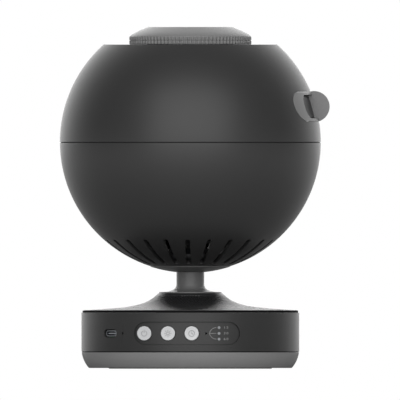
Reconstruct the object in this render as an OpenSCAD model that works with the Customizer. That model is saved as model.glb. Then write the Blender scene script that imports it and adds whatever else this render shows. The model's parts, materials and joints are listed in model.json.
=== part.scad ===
// Planetarium projector: ball head on a swivel neck, round base with speaker.
// Millimetres. +Z up, front is -Y, origin at the middle of the base underside.

/* [Ball] */
// outside diameter of the ball head
ball_diameter = 150; // [148:1:154]
// wall thickness of the two ball shells
shell_wall = 2.5; // [2.2:0.1:2.8]
// height of the ball centre above the table
ball_centre_height = 130.3; // [128.5:0.1:133]
// diameter of the flat on top of the ball
flat_top_diameter = 99.8; // [96:0.2:103]
// height of the shadow groove along the equator seam
seam_groove = 0.45; // [0.3:0.05:0.7]
// number of cooling slots round the bottom of the ball
vent_count = 24; // [16:1:26]
// width of one cooling slot
vent_width = 2.9; // [2:0.1:3.4]
// upper end of the slots, degrees from straight down
vent_upper_angle = 41.5; // [38:0.5:45]
// lower end of the slots, degrees from straight down
vent_lower_angle = 20.5; // [20.5:0.5:24]
// diameter of the flush flange at the bottom of the ball
flange_diameter = 46; // [44:0.5:47]

/* [Disc cartridge] */
// height of the cartridge slot above the ball centre
cartridge_rise = 20.35; // [19.8:0.05:21]
// clear width of the slot
slot_width = 60; // [58.6:0.1:61]
// clear height of the slot
slot_height = 13.5; // [13:0.1:14.5]
// width of the bezel beside the slot
bezel_side = 9.9; // [8.5:0.1:10.2]
// width of the bezel above and below the slot
bezel_border = 1.6; // [1.3:0.1:2.2]
// diameter of the round pinch grip
grip_diameter = 17.9; // [17:0.1:18.5]
// depth of the cartridge face below the ball surface
face_recess = 2; // [1.5:0.1:2.5]
// distance of the grip centre in front of the cartridge face
grip_reach = 1; // [0.6:0.1:1.8]
// width of the grip across the slot
grip_width = 12; // [10:0.5:14]
// width of the cartridge tray behind the face
tray_width = 53; // [52.8:0.1:54.4]
// thickness of the cartridge tray
tray_thickness = 5; // [4.8:0.1:5.6]
// teeth on the star disc gear
disc_teeth = 80; // [76:1:80]
// teeth on the motor pinion
pinion_teeth = 12; // [11:1:14]
// gear module
gear_module = 0.6; // [0.58:0.01:0.61]

/* [Lens and focus ring] */
// diameter over the knurled focus ring
focus_ring_diameter = 70.2; // [68:0.2:73]
// height of the focus ring
focus_ring_height = 9.8; // [9.4:0.1:11]
// height of the lens barrel's lower end above the middle of the disc cartridge
disc_to_barrel = 11.84; // [11.6:0.02:13]
// diameter of the flat rim on top of the focus ring
focus_rim_diameter = 48.2; // [47:0.2:50]
// number of knurl ribs
knurl_count = 96; // [72:1:120]
// depth of the knurl grooves
knurl_depth = 0.45; // [0.3:0.05:0.6]
// diameter of the front lens
front_lens_diameter = 34; // [32:0.2:34.4]
// diameter of the rear lens
rear_lens_diameter = 24; // [22:0.2:25]
// full travel of the lens barrel
focus_travel = 5; // [3:0.5:5]
// outside diameter of the lens barrel thread
barrel_diameter = 44; // [43.6:0.1:44.4]

/* [Lamp and cooling] */
// diameter of the condenser lens
condenser_diameter = 28.8; // [26:0.2:29]
// diameter of the disc motor
motor_diameter = 20; // [18:0.5:20]
// side of the square fan and heat sink
fan_side = 50; // [48:0.5:52]
// depth of the fan
fan_depth = 12; // [10:0.5:13]
// number of fan blades
fan_blades = 7; // [5:1:9]
// number of heat sink fins
fin_count = 9; // [7:1:11]

/* [Neck] */
// diameter of the visible neck
neck_diameter = 16; // [15:0.2:17]
// diameter of the swivel shaft inside the base
shaft_diameter = 12; // [11:0.2:12.4]
// bore for the cable
cable_bore = 7; // [6:0.2:8]
// diameter of the cable on the axis
cable_diameter = 4.4; // [3.6:0.1:5]
// height of the swivel line above the table
swivel_height = 46.3; // [45.9:0.1:47.5]
// diameter of the flat collar on the base
collar_diameter = 36; // [34:0.2:38]
// height of the collar top above the table
collar_height = 44.1; // [43.5:0.1:44.5]

/* [Base] */
// outside diameter of the base drum
base_diameter = 125.2; // [123:0.2:128]
// wall thickness of the base drum
base_wall = 2.5; // [2.2:0.1:2.7]
// height of the top rim of the drum
drum_height = 33.2; // [32.8:0.1:33.6]
// height of the lower ring
ring_height = 9.5; // [8.8:0.1:9.6]
// gap at the seam between drum and lower ring
base_seam = 0.4; // [0.3:0.05:0.6]
// thickness of the speaker mesh
mesh_thickness = 0.6; // [0.5:0.05:0.7]
// thickness of the steel ballast plate
ballast_thickness = 4; // [3:0.5:5]
// diameter of the speaker
speaker_diameter = 40; // [36:0.5:41]
// distance of the speaker behind the axis
speaker_offset = 34; // [33:0.1:34.5]

/* [Controls] */
// width of the control panel
panel_width = 60.4; // [59:0.2:62]
// height of the control panel
panel_height = 12.9; // [12:0.1:13.5]
// sideways shift of the control panel
panel_shift = -1.9; // [-2.6:0.1:-1.2]
// height of the controls above the table
controls_height = 20.3; // [19.8:0.1:20.8]
// depth of the panel face below the drum surface
panel_recess = 0.8; // [0.5:0.1:1.1]
// diameter of a button cap
button_diameter = 8.2; // [7.6:0.1:8.6]
// spacing of the buttons
button_pitch = 13.65; // [13.2:0.05:14]
// height of the button face above the panel face
button_stand = 0.9; // [0.6:0.1:1.2]
// diameter of the indicator dots
dot_diameter = 1.6; // [1.2:0.1:1.8]
// vertical spacing of the indicator dots
dot_pitch = 3.3; // [3:0.1:3.6]
// direction of the charging socket, degrees from the front
socket_direction = -47.6; // [-50:0.2:-46]
// direction of the reset hole, degrees from the front
reset_direction = -38.5; // [-39.5:0.1:-37.5]

/* [Clearances] */
// radial running clearance of turning and sliding fits
running_fit = 0.06; // [0.04:0.01:0.09]
// gap between separately moving parts
moving_gap = 0.3; // [0.25:0.05:0.35]
// radial clearance of fixed fits
fixed_fit = 0.05; // [0.03:0.01:0.08]

/* [Hidden] */
$fn = 96;
ball_r = ball_diameter / 2;
inner_r = ball_r - shell_wall;
bc = ball_centre_height;
flat_r = flat_top_diameter / 2;
flat_z = bc + sqrt(ball_r * ball_r - flat_r * flat_r);
deck_z = flat_z - shell_wall;
flange_r = flange_diameter / 2;
flange_top = bc - sqrt(inner_r * inner_r - flange_r * flange_r) + 4.5;
tongue_r = inner_r + 1.1;
tongue_h = 3;

zc = bc + cartridge_rise;
half_slot = slot_width / 2;
bezel_half_y = half_slot + bezel_side;
bezel_half_z = slot_height / 2 + bezel_border;
slot_round = slot_height / 2 - 0.75;
bezel_round = bezel_half_z - 0.05;
grip_r = grip_diameter / 2;
tray_half = tray_width / 2;
tray_z = tray_thickness / 2;
tray_back = -18;
fascia_out = ball_r - face_recess;
fascia_in = fascia_out - 2.5;
grip_x = sqrt(fascia_out * fascia_out - cartridge_rise * cartridge_rise) + grip_reach;
bridge_back = grip_x - grip_r - 4.65;
bezel_back = sqrt(ball_r * ball_r - bezel_half_y * bezel_half_y - cartridge_rise * cartridge_rise) - 2.15;
slot_back = bezel_back - 8;
outside = ball_r + 20;
disc_pitch_r = gear_module * disc_teeth / 2;
pinion_pitch_r = gear_module * pinion_teeth / 2;
disc_tip_r = disc_pitch_r + 0.8 * gear_module;
disc_bore_r = disc_tip_r + 0.5;
gear_root_r = disc_pitch_r - 1.1 * gear_module;
pinion_x = -(disc_pitch_r + pinion_pitch_r + 0.05);
guide_floor_z = zc - tray_z - moving_gap;
guide_lip_z = zc + tray_z + moving_gap;
guide_half = tray_half + moving_gap;
chassis_top = zc - 7.25;
chassis_bottom = chassis_top - 2.4;
chassis_r = inner_r - 10.5;
chassis_screw_at = chassis_r - 4;

ring_bottom = flat_z + moving_gap;
ring_top = ring_bottom + focus_ring_height;
ring_r = focus_ring_diameter / 2;
rim_r = focus_rim_diameter / 2;
knurl_top = ring_bottom + 0.4 * focus_ring_height;
dome_h = ring_top - knurl_top;
barrel_r = barrel_diameter / 2;
sleeve_in = barrel_r + running_fit;
sleeve_out = sleeve_in + 2.7;
sleeve_bottom = flat_z - 8.3;
stop_z = ring_top - 3.6;
barrel_top = stop_z - moving_gap - 0.1 - focus_travel / 2;
barrel_bottom = zc + disc_to_barrel;
thread_bottom = sleeve_bottom - 2;
slim_r = barrel_r - 2.1;
front_r = front_lens_diameter / 2;
rear_r = rear_lens_diameter / 2;
front_seat = barrel_top - 8.4;
rear_seat = barrel_bottom + 8;
cup_floor = thread_bottom - focus_travel / 2 - 0.5;
guide_bottom = barrel_bottom - focus_travel / 2 - 1.2;
bore_r = sleeve_out + moving_gap;
clip_top = deck_z - moving_gap;

lamp_z = bc - 18.3;
sink_base = 4;
fin_length = 16;
fan_top = lamp_z - sink_base - fin_length - 2;
fan_bottom = fan_top - fan_depth;
fan_half = fan_side / 2;
fan_bore_r = fan_half - 1;
hub_r = 11;
screw_at = fan_half - 4.5;
housing_r = condenser_diameter / 2 + 2;
lens_seat = lamp_z + 12;
motor_r = motor_diameter / 2;

neck_r = neck_diameter / 2;
shaft_r = shaft_diameter / 2;
bush_in = shaft_r + running_fit;
bush_out = bush_in + 1.3;
shaft_bottom = drum_height - 9.2;
boss_bottom = drum_height - 6.2;
foot_top = swivel_height - 0.2;
shoulder_z = swivel_height + 0.3;
collar_r = collar_diameter / 2;
collar_disc = 0.8;

base_r = base_diameter / 2;
drum_in = base_r - base_wall;
drum_bottom = ring_height + base_seam;
deck_top = drum_height - 1;
deck_low = deck_top - 2;
plate_bottom = 1.6;
plate_top = 4;
ring_in = base_r - 5.1;
boss_at = base_r - 10.6;
foot_r = ring_in - 10.5;
board_r = ring_in - 10.5;
board_front = base_r - 18.1;
boss_azimuths = [60, 140, 215, 285];
flare_low_r = base_r - 1.2;
flare_low_z = drum_height + 0.4;
flare_high_r = collar_r + 0.6;
flare_high_z = collar_height - collar_disc;
flare_table = [[1, 0], [0.8785, 0.0619], [0.6051, 0.1237], [0.4907, 0.1753], [0.3808, 0.2371],
    [0.3131, 0.299], [0.2523, 0.3608], [0.2126, 0.4124], [0.1799, 0.4742], [0.1355, 0.5361],
    [0.1098, 0.5979], [0.0841, 0.6495], [0.0654, 0.7113], [0.0491, 0.7732], [0.035, 0.8351],
    [0.0234, 0.8866], [0.0117, 0.9485], [0, 1]];
ring_table = [[0.1, 1], [0.5, 0.87], [0.8, 0.75], [1.2, 0.62], [1.6, 0.5], [2.1, 0.37], [2.6, 0.25],
    [3.5, 0.11], [4.4, 0]];

speaker_r = speaker_diameter / 2;
panel_half = panel_width / 2;
panel_face = base_r - panel_recess;
panel_back = panel_face - 3.2;
button_r = button_diameter / 2;
button_face = panel_face + button_stand;
middle_button_x = panel_shift - 11;
board_y = 20.8 - base_r;
switch_height = 3.5;
plunger_tip = board_y - switch_height - 0.9;
dot_x = panel_shift + 18.4;
mic_x = panel_shift + 10.9;
socket_half_w = 4.47;
socket_half_h = 1.63;
main_board_z = 12.6;
board_t = 1.6;
post_points = [[26, -22], [-26, -22], [26, 2], [-26, 2]];

// ---------- helpers ----------
module ring(r_out, r_in, z0, z1) {
    translate([0, 0, z0]) difference() {
        cylinder(r = r_out, h = z1 - z0);
        translate([0, 0, -1]) cylinder(r = r_in, h = z1 - z0 + 2);
    }
}

module rod(x, y, r, z0, z1) {
    translate([x, y, z0]) cylinder(r = r, h = z1 - z0);
}

module rod_y(x, z, r, y0, y1) {
    translate([x, y1, z]) rotate([90, 0, 0]) cylinder(r = r, h = y1 - y0);
}

module box(x0, x1, y0, y1, z0, z1) {
    translate([x0, y0, z0]) cube([x1 - x0, y1 - y0, z1 - z0]);
}

module rounded(w, h, r) {
    square([w - 2 * r, h], center = true);
    square([w, h - 2 * r], center = true);
    for (sx = [-1, 1], sy = [-1, 1]) translate([sx * (w / 2 - r), sy * (h / 2 - r)]) circle(r = r);
}

module slot_prism(half_w, half_h, r, x0, x1) {
    translate([x0, 0, zc]) rotate([90, 0, 90])
        linear_extrude(height = x1 - x0) rounded(2 * half_w, 2 * half_h, r);
}

module pill_y(grow, y0, y1) {
    r = panel_height / 2 + grow;
    span = panel_half - panel_height / 2;
    rod_y(panel_shift - span, controls_height, r, y0, y1);
    rod_y(panel_shift + span, controls_height, r, y0, y1);
    box(panel_shift - span, panel_shift + span, y0, y1, controls_height - r, controls_height + r);
}

module grip_clearance() {
    w = grip_width / 2 + 0.6;
    rod_y(grip_x, zc, grip_r + 0.5, -w, w);
    box(grip_x, outside, -w, w, zc - grip_r - 0.5, zc + grip_r + 0.5);
}

function gear_points(teeth, m, tip, root, backlash, turn) = [for (i = [0:teeth - 1])
    let (a = 360 / teeth, c = i * a + turn,
        t = m * teeth / 2, w = 90 / teeth - backlash / t * 28.65)
    for (p = [[-w * 1.42, root], [-w * 0.52, tip], [w * 0.52, tip], [w * 1.42, root]])
        [p[1] * cos(c + p[0]), p[1] * sin(c + p[0])]];

// ---------- ball head ----------
module upper_shell() {
    color("#4a4c50") difference() {
        union() {
            difference() {
                intersection() {
                    translate([0, 0, bc]) sphere(r = ball_r);
                    translate([0, 0, bc]) cylinder(r = ball_r + 5, h = flat_z - bc);
                }
                intersection() {
                    translate([0, 0, bc]) sphere(r = inner_r);
                    translate([0, 0, bc - 1]) cylinder(r = ball_r + 5, h = deck_z - bc + 1);
                }
            }
            for (a = [45:90:315]) rotate([0, 0, a]) intersection() {
                rod(chassis_screw_at, 0, 3.6, chassis_top, zc + 40);
                translate([0, 0, bc]) sphere(r = inner_r + 0.5);
            }
        }
        rod(0, 0, bore_r, deck_z - 5, flat_z + 5);
        rod(0, 0, tongue_r + fixed_fit, bc - 1, bc + tongue_h + 0.1);
        slot_prism(bezel_half_y + fixed_fit, bezel_half_z + fixed_fit, bezel_round, slot_back, outside);
        grip_clearance();
        for (a = [45:90:315]) rotate([0, 0, a])
            rod(chassis_screw_at, 0, 1.25, chassis_top - 1, chassis_top + 12);
    }
}

module vent_cutter() {
    e = asin(vent_width / 2 / ball_r);
    lo = vent_lower_angle + e;
    hi = vent_upper_angle - e;
    near = inner_r - 12.5;
    far = ball_r + 10;
    translate([-vent_width / 2, 0, bc]) rotate([90, 0, 90]) linear_extrude(height = vent_width)
        polygon([[-near * sin(lo), -near * cos(lo)], [-far * sin(lo), -far * cos(lo)],
            [-far * sin(hi), -far * cos(hi)], [-near * sin(hi), -near * cos(hi)]]);
    for (a = [lo, hi]) translate([0, 0, bc]) rotate([180 - a, 0, 0])
        translate([0, 0, near]) cylinder(r = vent_width / 2, h = far - near);
}

module lower_shell() {
    color("#45474b") difference() {
        union() {
            difference() {
                intersection() {
                    translate([0, 0, bc]) sphere(r = ball_r);
                    translate([0, 0, bc - ball_r - 1]) cylinder(r = ball_r + 5, h = ball_r + 1);
                }
                translate([0, 0, bc]) sphere(r = inner_r);
            }
            ring(tongue_r, inner_r - 0.5, bc - 0.5, bc + tongue_h);
        }
        ring(ball_r + 5, ball_r - 0.8, bc - seam_groove, bc + 1);
        rod(0, 0, flange_r + fixed_fit, bc - ball_r - 5, bc - inner_r / 2);
        for (i = [0:vent_count - 1]) rotate([0, 0, -1.9 + i * 360 / vent_count]) vent_cutter();
    }
}

module slot_bezel() {
    color("#75777b") difference() {
        intersection() {
            slot_prism(bezel_half_y, bezel_half_z, bezel_round, bezel_back, outside);
            translate([0, 0, bc]) sphere(r = ball_r + 0.2);
            translate([0, 0, bc]) difference() {
                sphere(r = ball_r + 5);
                sphere(r = ball_r - 11);
            }
        }
        slot_prism(half_slot, slot_height / 2, slot_round, slot_back, outside);
        grip_clearance();
    }
}

module neck_flange() {
    color("#5c5e62") difference() {
        union() {
            intersection() {
                translate([0, 0, bc]) sphere(r = ball_r);
                rod(0, 0, flange_r, bc - ball_r - 1, flange_top - 2);
            }
            intersection() {
                translate([0, 0, bc]) sphere(r = inner_r - fixed_fit);
                rod(0, 0, flange_r + 6, bc - ball_r, flange_top);
            }
        }
        rod(0, 0, neck_r + fixed_fit, bc - ball_r - 2, flange_top + 1);
    }
}

module neck_tube() {
    color("#66686c") difference() {
        union() {
            rod(0, 0, neck_r, shoulder_z, flange_top + 3);
            rod(0, 0, neck_r + 0.4, shoulder_z, shoulder_z + 0.6);
            rod(0, 0, shaft_r, shaft_bottom, shoulder_z + 1);
        }
        rod(0, 0, cable_bore / 2, shaft_bottom - 1, flange_top + 4);
    }
}

module neck_nut() {
    color("#8d8f92") difference() {
        translate([0, 0, flange_top]) cylinder(r = neck_r + 4.5, h = 3, $fn = 6);
        rod(0, 0, neck_r + fixed_fit, flange_top - 1, flange_top + 4);
    }
}

module swivel_nut() {
    z0 = shaft_bottom - 0.5;
    z1 = boss_bottom - 1 - moving_gap;
    color("#8d8f92") difference() {
        union() {
            rod(0, 0, shaft_r + 3.5, z0, z1);
            box(shaft_r + 2, shaft_r + 7, -0.8, 0.8, z0, z1);
        }
        rod(0, 0, shaft_r + fixed_fit, shaft_bottom, z1 + 1);
        rod(0, 0, cable_bore / 2, z0 - 1, z1);
    }
}

module lamp_chassis() {
    color("#2e2f31") difference() {
        union() {
            rod(0, 0, chassis_r, chassis_bottom, chassis_top);
            rod(0, 0, housing_r, lamp_z + 1.6, chassis_top);
            box(-fan_half, fan_half, -fan_half, fan_half, lamp_z + 1.6, lamp_z + 4);
            for (sx = [-1, 1]) rod(37 + sx * 11, 0, 2.5, chassis_bottom - 4, chassis_bottom + 1);
        }
        rod(0, 0, condenser_diameter / 2 - 1.5, lamp_z, chassis_top + 1);
        rod(0, 0, condenser_diameter / 2 + fixed_fit, lens_seat, chassis_top + 1);
        for (a = [45:90:315]) rotate([0, 0, a])
            rod(chassis_screw_at, 0, 1.6, chassis_bottom - 1, chassis_top + 1);
        rod(pinion_x, 0, 3.2, chassis_bottom - 1, chassis_top + 1);
        for (sx = [-1, 1], sy = [-1, 1])
            rod(sx * screw_at, sy * screw_at, 1.6, lamp_z, lamp_z + 6);
        for (sy = [-1, 1], i = [-1, 1])
            rod(i * 16, sy * (chassis_r - 18), 8, chassis_bottom - 1, chassis_top + 1);
        rod(16 - chassis_r, 0, 5, chassis_bottom - 1, chassis_top + 1);
    }
}

module cartridge_guide() {
    y1 = guide_half + 2;
    x1 = bezel_back - 2;
    color("#3a3b3e") difference() {
        union() {
            box(tray_back - 2, x1, -y1, y1, guide_floor_z - 1.4, guide_floor_z);
            for (s = [-1, 1]) {
                box(tray_back + 2, x1, min(s * guide_half, s * y1), max(s * guide_half, s * y1),
                    guide_floor_z - 1.4, guide_lip_z + 1.2);
                box(tray_back + 2, x1, min(s * (guide_half - 2), s * y1), max(s * (guide_half - 2), s * y1),
                    guide_lip_z, guide_lip_z + 1.2);
            }
            for (x = [tray_back + 4, x1 - 6], s = [-1, 1])
                rod(x, s * (guide_half - 4.8), 3, chassis_top, guide_floor_z - 1);
        }
        rod(0, 0, 19, chassis_top - 1, guide_floor_z + 1);
    }
}

module condenser_lens() {
    r = condenser_diameter / 2;
    color("#dfe9ee") {
        union() {
            rod(0, 0, r, lens_seat, lens_seat + 2.4);
            intersection() {
                translate([0, 0, lens_seat + 2.3 + 6 - (r * r + 36) / 12])
                    sphere(r = (r * r + 36) / 12);
                rod(0, 0, r, lens_seat + 2, lens_seat + 12);
            }
        }
    }
}

module led_board() {
    color("#e8e8e2") difference() {
        rod(0, 0, condenser_diameter / 2 + 0.5, lamp_z, lamp_z + 1.6);
        for (a = [0, 180]) rotate([0, 0, a]) rod(10, 0, 1.2, lamp_z - 1, lamp_z + 3);
    }
}

module led_emitter() {
    color("#f2d36b") union() {
        box(-3, 3, -3, 3, lamp_z + 1.6, lamp_z + 2.8);
        intersection() {
            translate([0, 0, lamp_z + 2.6]) sphere(r = 2.4);
            rod(0, 0, 4, lamp_z + 2.7, lamp_z + 7);
        }
    }
}

module heat_sink() {
    z1 = lamp_z;
    z0 = lamp_z - sink_base - fin_length;
    step = (fan_side - 1.4) / (fin_count - 1);
    color("#b9bcc0") difference() {
        union() {
            box(-fan_half, fan_half, -fan_half, fan_half, z1 - sink_base, z1);
            for (i = [0:fin_count - 1]) {
                x = -fan_half + 0.7 + i * step;
                box(x - 0.7, x + 0.7, -fan_half, fan_half, z0, z1 - 1);
            }
            for (sx = [-1, 1], sy = [-1, 1]) rod(sx * screw_at, sy * screw_at, 3.5, z0 - 2, z1 - 1);
        }
        for (sx = [-1, 1], sy = [-1, 1]) {
            rod(sx * screw_at, sy * screw_at, 1.4, z0 - 3, z0 + 8);
            rod(sx * screw_at, sy * screw_at, 1.4, z1 - 7, z1 + 1);
        }
    }
}

module fan_frame() {
    color("#1f2022") difference() {
        union() {
            difference() {
                box(-fan_half, fan_half, -fan_half, fan_half, fan_bottom, fan_top);
                rod(0, 0, fan_bore_r, fan_bottom - 1, fan_top + 1);
            }
            rod(0, 0, hub_r, fan_bottom, fan_bottom + 2);
            rod(0, 0, 2, fan_bottom, fan_top - 2);
            for (a = [30, 150, 270]) rotate([0, 0, a])
                box(0, fan_bore_r + 0.5, -1.5, 1.5, fan_bottom, fan_bottom + 2);
        }
        for (sx = [-1, 1], sy = [-1, 1])
            rod(sx * screw_at, sy * screw_at, 1.6, fan_bottom - 1, fan_top + 1);
    }
}

module fan_rotor() {
    z0 = fan_bottom + 2 + moving_gap;
    z1 = fan_top - 0.5;
    color("#26272a") difference() {
        union() {
            rod(0, 0, hub_r - 0.5, z0, z1);
            intersection() {
                ring(fan_bore_r - 0.7, hub_r - 1.5, z0, z1);
                union() {
                    for (i = [0:fan_blades - 1]) rotate([0, 0, i * 360 / fan_blades])
                        translate([0, 0, (z0 + z1) / 2]) rotate([38, 0, 0])
                        translate([hub_r - 3, -8, -0.6]) cube([fan_half, 16, 1.2]);
                }
            }
        }
        rod(0, 0, 2 + running_fit, z0 - 1, z1 - 1);
    }
}

module disc_motor() {
    color("#9a9ca0") union() {
        rod(pinion_x, 0, motor_r, chassis_bottom - 22, chassis_bottom);
        rod(pinion_x, 0, 3, chassis_bottom - 1, chassis_bottom + 2);
        rod(pinion_x, 0, 1, chassis_bottom, zc + 1.8);
        rod(pinion_x, 0, 4, chassis_bottom - 23.4, chassis_bottom - 21);
    }
}

module disc_pinion() {
    color("#e6e2d6") difference() {
        union() {
            translate([pinion_x, 0, zc - 1.6]) linear_extrude(height = 3)
                polygon(gear_points(pinion_teeth, gear_module, pinion_pitch_r + 0.8 * gear_module,
                    pinion_pitch_r - 1.1 * gear_module, 0.12, 180 / pinion_teeth));
            rod(pinion_x, 0, 2.2, zc - 4, zc - 1);
        }
        rod(pinion_x, 0, 1 + running_fit, zc - 5, zc + 2.2);
    }
}

module driver_board() {
    z1 = chassis_bottom - 4;
    color("#1d5a3a") union() {
        box(22, 52, -16, 16, z1 - 1.6, z1);
        box(25, 33, -13, -5, z1 - 5.6, z1 - 1);
        box(36, 41, 3, 8, z1 - 3, z1 - 1);
        box(44, 50, -12, 4, z1 - 4.6, z1 - 1);
        rod(30, 9, 3, z1 - 8, z1 - 1);
        box(31, 37, -3, 3, z1 - 5, z1 - 1);
    }
}

module head_loom() {
    z0 = flange_top + 5.3;
    z1 = chassis_bottom - 9.2;
    x1 = 34;
    color("#2b2c2e") union() {
        box(-4, 4, -4, 4, z0, z0 + 3);
        box(3, x1 + 1.6, -2.4, 2.4, z0 + 0.6, z0 + 2.6);
        box(x1 - 0.4, x1 + 1.6, -2.4, 2.4, z0 + 2, z1);
    }
}

module lens_guide() {
    color("#3a3b3e") difference() {
        union() {
            rod(0, 0, slim_r + 3.1, guide_bottom, cup_floor);
            rod(0, 0, sleeve_out + 4.6, cup_floor - 2, deck_z);
            rod(0, 0, sleeve_out + 9, deck_z - 2, deck_z);
        }
        rod(0, 0, slim_r + running_fit, guide_bottom - 1, cup_floor + 1);
        rod(0, 0, sleeve_out + 2.2, cup_floor, deck_z + 1);
        for (a = [0, 180]) rotate([0, 0, a])
            box(0, slim_r + 2.3, -2.3, 2.3, guide_bottom + 1, cup_floor + 1);
        for (a = [90, 210, 330]) rotate([0, 0, a]) rod(sleeve_out + 6.8, 0, 1.1, deck_z - 3, deck_z + 1);
    }
}

module chassis_screws() {
    color("#8d8f92") for (a = [45:90:315]) rotate([0, 0, a]) {
        rod(chassis_screw_at, 0, 1.25, chassis_bottom - 0.5, chassis_top + 10);
        rod(chassis_screw_at, 0, 2.8, chassis_bottom - 2, chassis_bottom);
    }
}

module optics_screws() {
    color("#8d8f92") for (sx = [-1, 1], sy = [-1, 1]) {
        rod(sx * screw_at, sy * screw_at, 1.4, lamp_z - 6, lamp_z + 4.5);
        rod(sx * screw_at, sy * screw_at, 2.6, lamp_z + 4, lamp_z + 5.8);
    }
}

module fan_screws() {
    z1 = lamp_z - sink_base - fin_length;
    color("#8d8f92") for (sx = [-1, 1], sy = [-1, 1]) {
        rod(sx * screw_at, sy * screw_at, 1.4, fan_bottom - 0.5, z1 + 6);
        rod(sx * screw_at, sy * screw_at, 2.6, fan_bottom - 1.8, fan_bottom);
    }
}

// ---------- focus ring and lens ----------
module focus_ring() {
    dome = [[ring_r, 0], [ring_r - 0.35, 0.1], [ring_r - 0.9, 0.2], [ring_r - 1.9, 0.3],
        [ring_r - 3, 0.41], [ring_r - 4, 0.5], [ring_r - 5.1, 0.59], [ring_r - 6.3, 0.69],
        [ring_r - 7.7, 0.79], [ring_r - 9.2, 0.89], [rim_r, 1]];
    color("#5a5c60") difference() {
        union() {
            rotate_extrude() polygon(concat([[0, ring_bottom], [ring_r, ring_bottom]],
                [for (p = dome) [p[0], knurl_top + p[1] * dome_h]], [[0, ring_top]]));
            rod(0, 0, sleeve_out, sleeve_bottom, ring_bottom + 1);
        }
        translate([0, 0, ring_bottom - 1]) linear_extrude(height = knurl_top - ring_bottom + 1)
            difference() {
                circle(r = ring_r + 3);
                polygon([for (i = [0:knurl_count - 1]) let (a = 360 / knurl_count)
                    for (p = [[-0.2, -knurl_depth], [0.2, -knurl_depth], [0.34, 0.15], [0.66, 0.15]])
                    [(ring_r + p[1]) * sin((i + p[0]) * a), -(ring_r + p[1]) * cos((i + p[0]) * a)]]);
            }
        rod(0, 0, sleeve_in, sleeve_bottom - 1, stop_z);
        translate([0, 0, stop_z - 0.01])
            cylinder(r1 = front_r + 1, r2 = rim_r - 2.4, h = ring_top - stop_z + 0.02);
        rod(0, 0, front_r + 1, stop_z - 1, stop_z + 0.5);
        ring(ring_r - 2, sleeve_out + 1.2, ring_bottom - 1, ring_bottom + 3);
        ring(sleeve_out + 1, sleeve_out - 0.8, clip_top - 1.25, clip_top + 0.05);
    }
}

module ring_clip() {
    color("#8d8f92") difference() {
        ring(sleeve_out + 1.5, sleeve_out - 0.8 + fixed_fit, clip_top - 1.2, clip_top);
        box(0, sleeve_out + 3, -3, 3, clip_top - 2, clip_top + 1);
    }
}

module lens_barrel() {
    color("#232427") difference() {
        union() {
            rod(0, 0, barrel_r, thread_bottom, barrel_top);
            rod(0, 0, slim_r, barrel_bottom, thread_bottom + 1);
            for (a = [0, 180]) rotate([0, 0, a])
                box(slim_r - 2, slim_r + 2, -2, 2, barrel_bottom + 1, barrel_bottom + 5);
        }
        rod(0, 0, front_r + fixed_fit, front_seat, barrel_top + 1);
        rod(0, 0, rear_r + fixed_fit, barrel_bottom - 1, rear_seat);
        translate([0, 0, rear_seat - 0.01])
            cylinder(r1 = rear_r - 1, r2 = front_r - 1.5, h = front_seat - rear_seat + 0.02);
    }
}

module front_lens() {
    top = (front_r * front_r + 3.8 * 3.8) / 7.6;
    low_r = front_r - 1.7;
    low = (low_r * low_r + 2.2 * 2.2) / 4.4;
    color("#c9dbe6") union() {
        rod(0, 0, front_r, front_seat, front_seat + 2.5);
        intersection() {
            translate([0, 0, front_seat + 2.4 + 3.8 - top]) sphere(r = top);
            rod(0, 0, front_r, front_seat + 2, front_seat + 9);
        }
        intersection() {
            translate([0, 0, front_seat + 0.1 - 2.2 + low]) sphere(r = low);
            rod(0, 0, low_r - 0.05, front_seat - 5, front_seat + 1);
        }
    }
}

module lens_retainer() {
    color("#1a1b1d") ring(front_r, front_r - 1.8, front_seat + 3.4, front_seat + 5.4);
}

module rear_lens() {
    low = (rear_r * rear_r + 4) / 4;
    color("#c9dbe6") union() {
        rod(0, 0, rear_r, rear_seat - 3, rear_seat);
        intersection() {
            translate([0, 0, rear_seat - 2.9 - 2 + low]) sphere(r = low);
            rod(0, 0, rear_r - 0.05, rear_seat - 7, rear_seat - 1);
        }
    }
}

// ---------- disc cartridge ----------
module cartridge_tray() {
    color("#35363a") difference() {
        intersection() {
            box(tray_back, ball_r, -tray_half, tray_half, zc - tray_z, zc + tray_z);
            translate([0, 0, bc]) sphere(r = fascia_in);
        }
        rod(0, 0, disc_bore_r, zc - 1.3, zc + 5);
        rod(0, 0, gear_root_r - 1.8, zc - 5, zc + 5);
        grip_clearance();
        box(grip_x - 18, grip_x, -4 - fixed_fit, 4 + fixed_fit,
            zc - 1.5 - fixed_fit, zc + 1.5 + fixed_fit);
    }
}

module disc_retainer() {
    color("#4a4b4f") difference() {
        ring(disc_bore_r - fixed_fit, gear_root_r - 1.2, zc + 0.9, zc + 2.1);
        box(-50, tray_back, -40, 40, zc - 5, zc + 5);
    }
}

module cartridge_fascia() {
    color("#4a4c50") difference() {
        union() {
            intersection() {
                slot_prism(half_slot - 0.4, slot_height / 2 - 0.4, slot_round - 0.4, slot_back, outside);
                translate([0, 0, bc]) difference() {
                    sphere(r = fascia_out);
                    sphere(r = fascia_in);
                }
            }
            intersection() {
                box(bridge_back, ball_r, -12, 12, zc - slot_height / 2 + 0.8, zc + slot_height / 2 - 0.8);
                translate([0, 0, bc]) sphere(r = fascia_in + 0.5);
            }
        }
        grip_clearance();
        intersection() {
            box(slot_back, ball_r, -tray_half, tray_half, zc - tray_z - fixed_fit, zc + tray_z + fixed_fit);
            translate([0, 0, bc]) sphere(r = fascia_in);
        }
    }
}

module cartridge_grip() {
    w = grip_width / 2;
    color("#6e7074") union() {
        rod_y(grip_x, zc, grip_r, -w, w);
        box(grip_x - 18, grip_x - 5, -4, 4, zc - 1.5, zc + 1.5);
    }
}

module star_disc() {
    color("#15161a") rod(0, 0, gear_root_r - 1.2, zc - 0.7, zc + 0.3);
}

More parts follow.
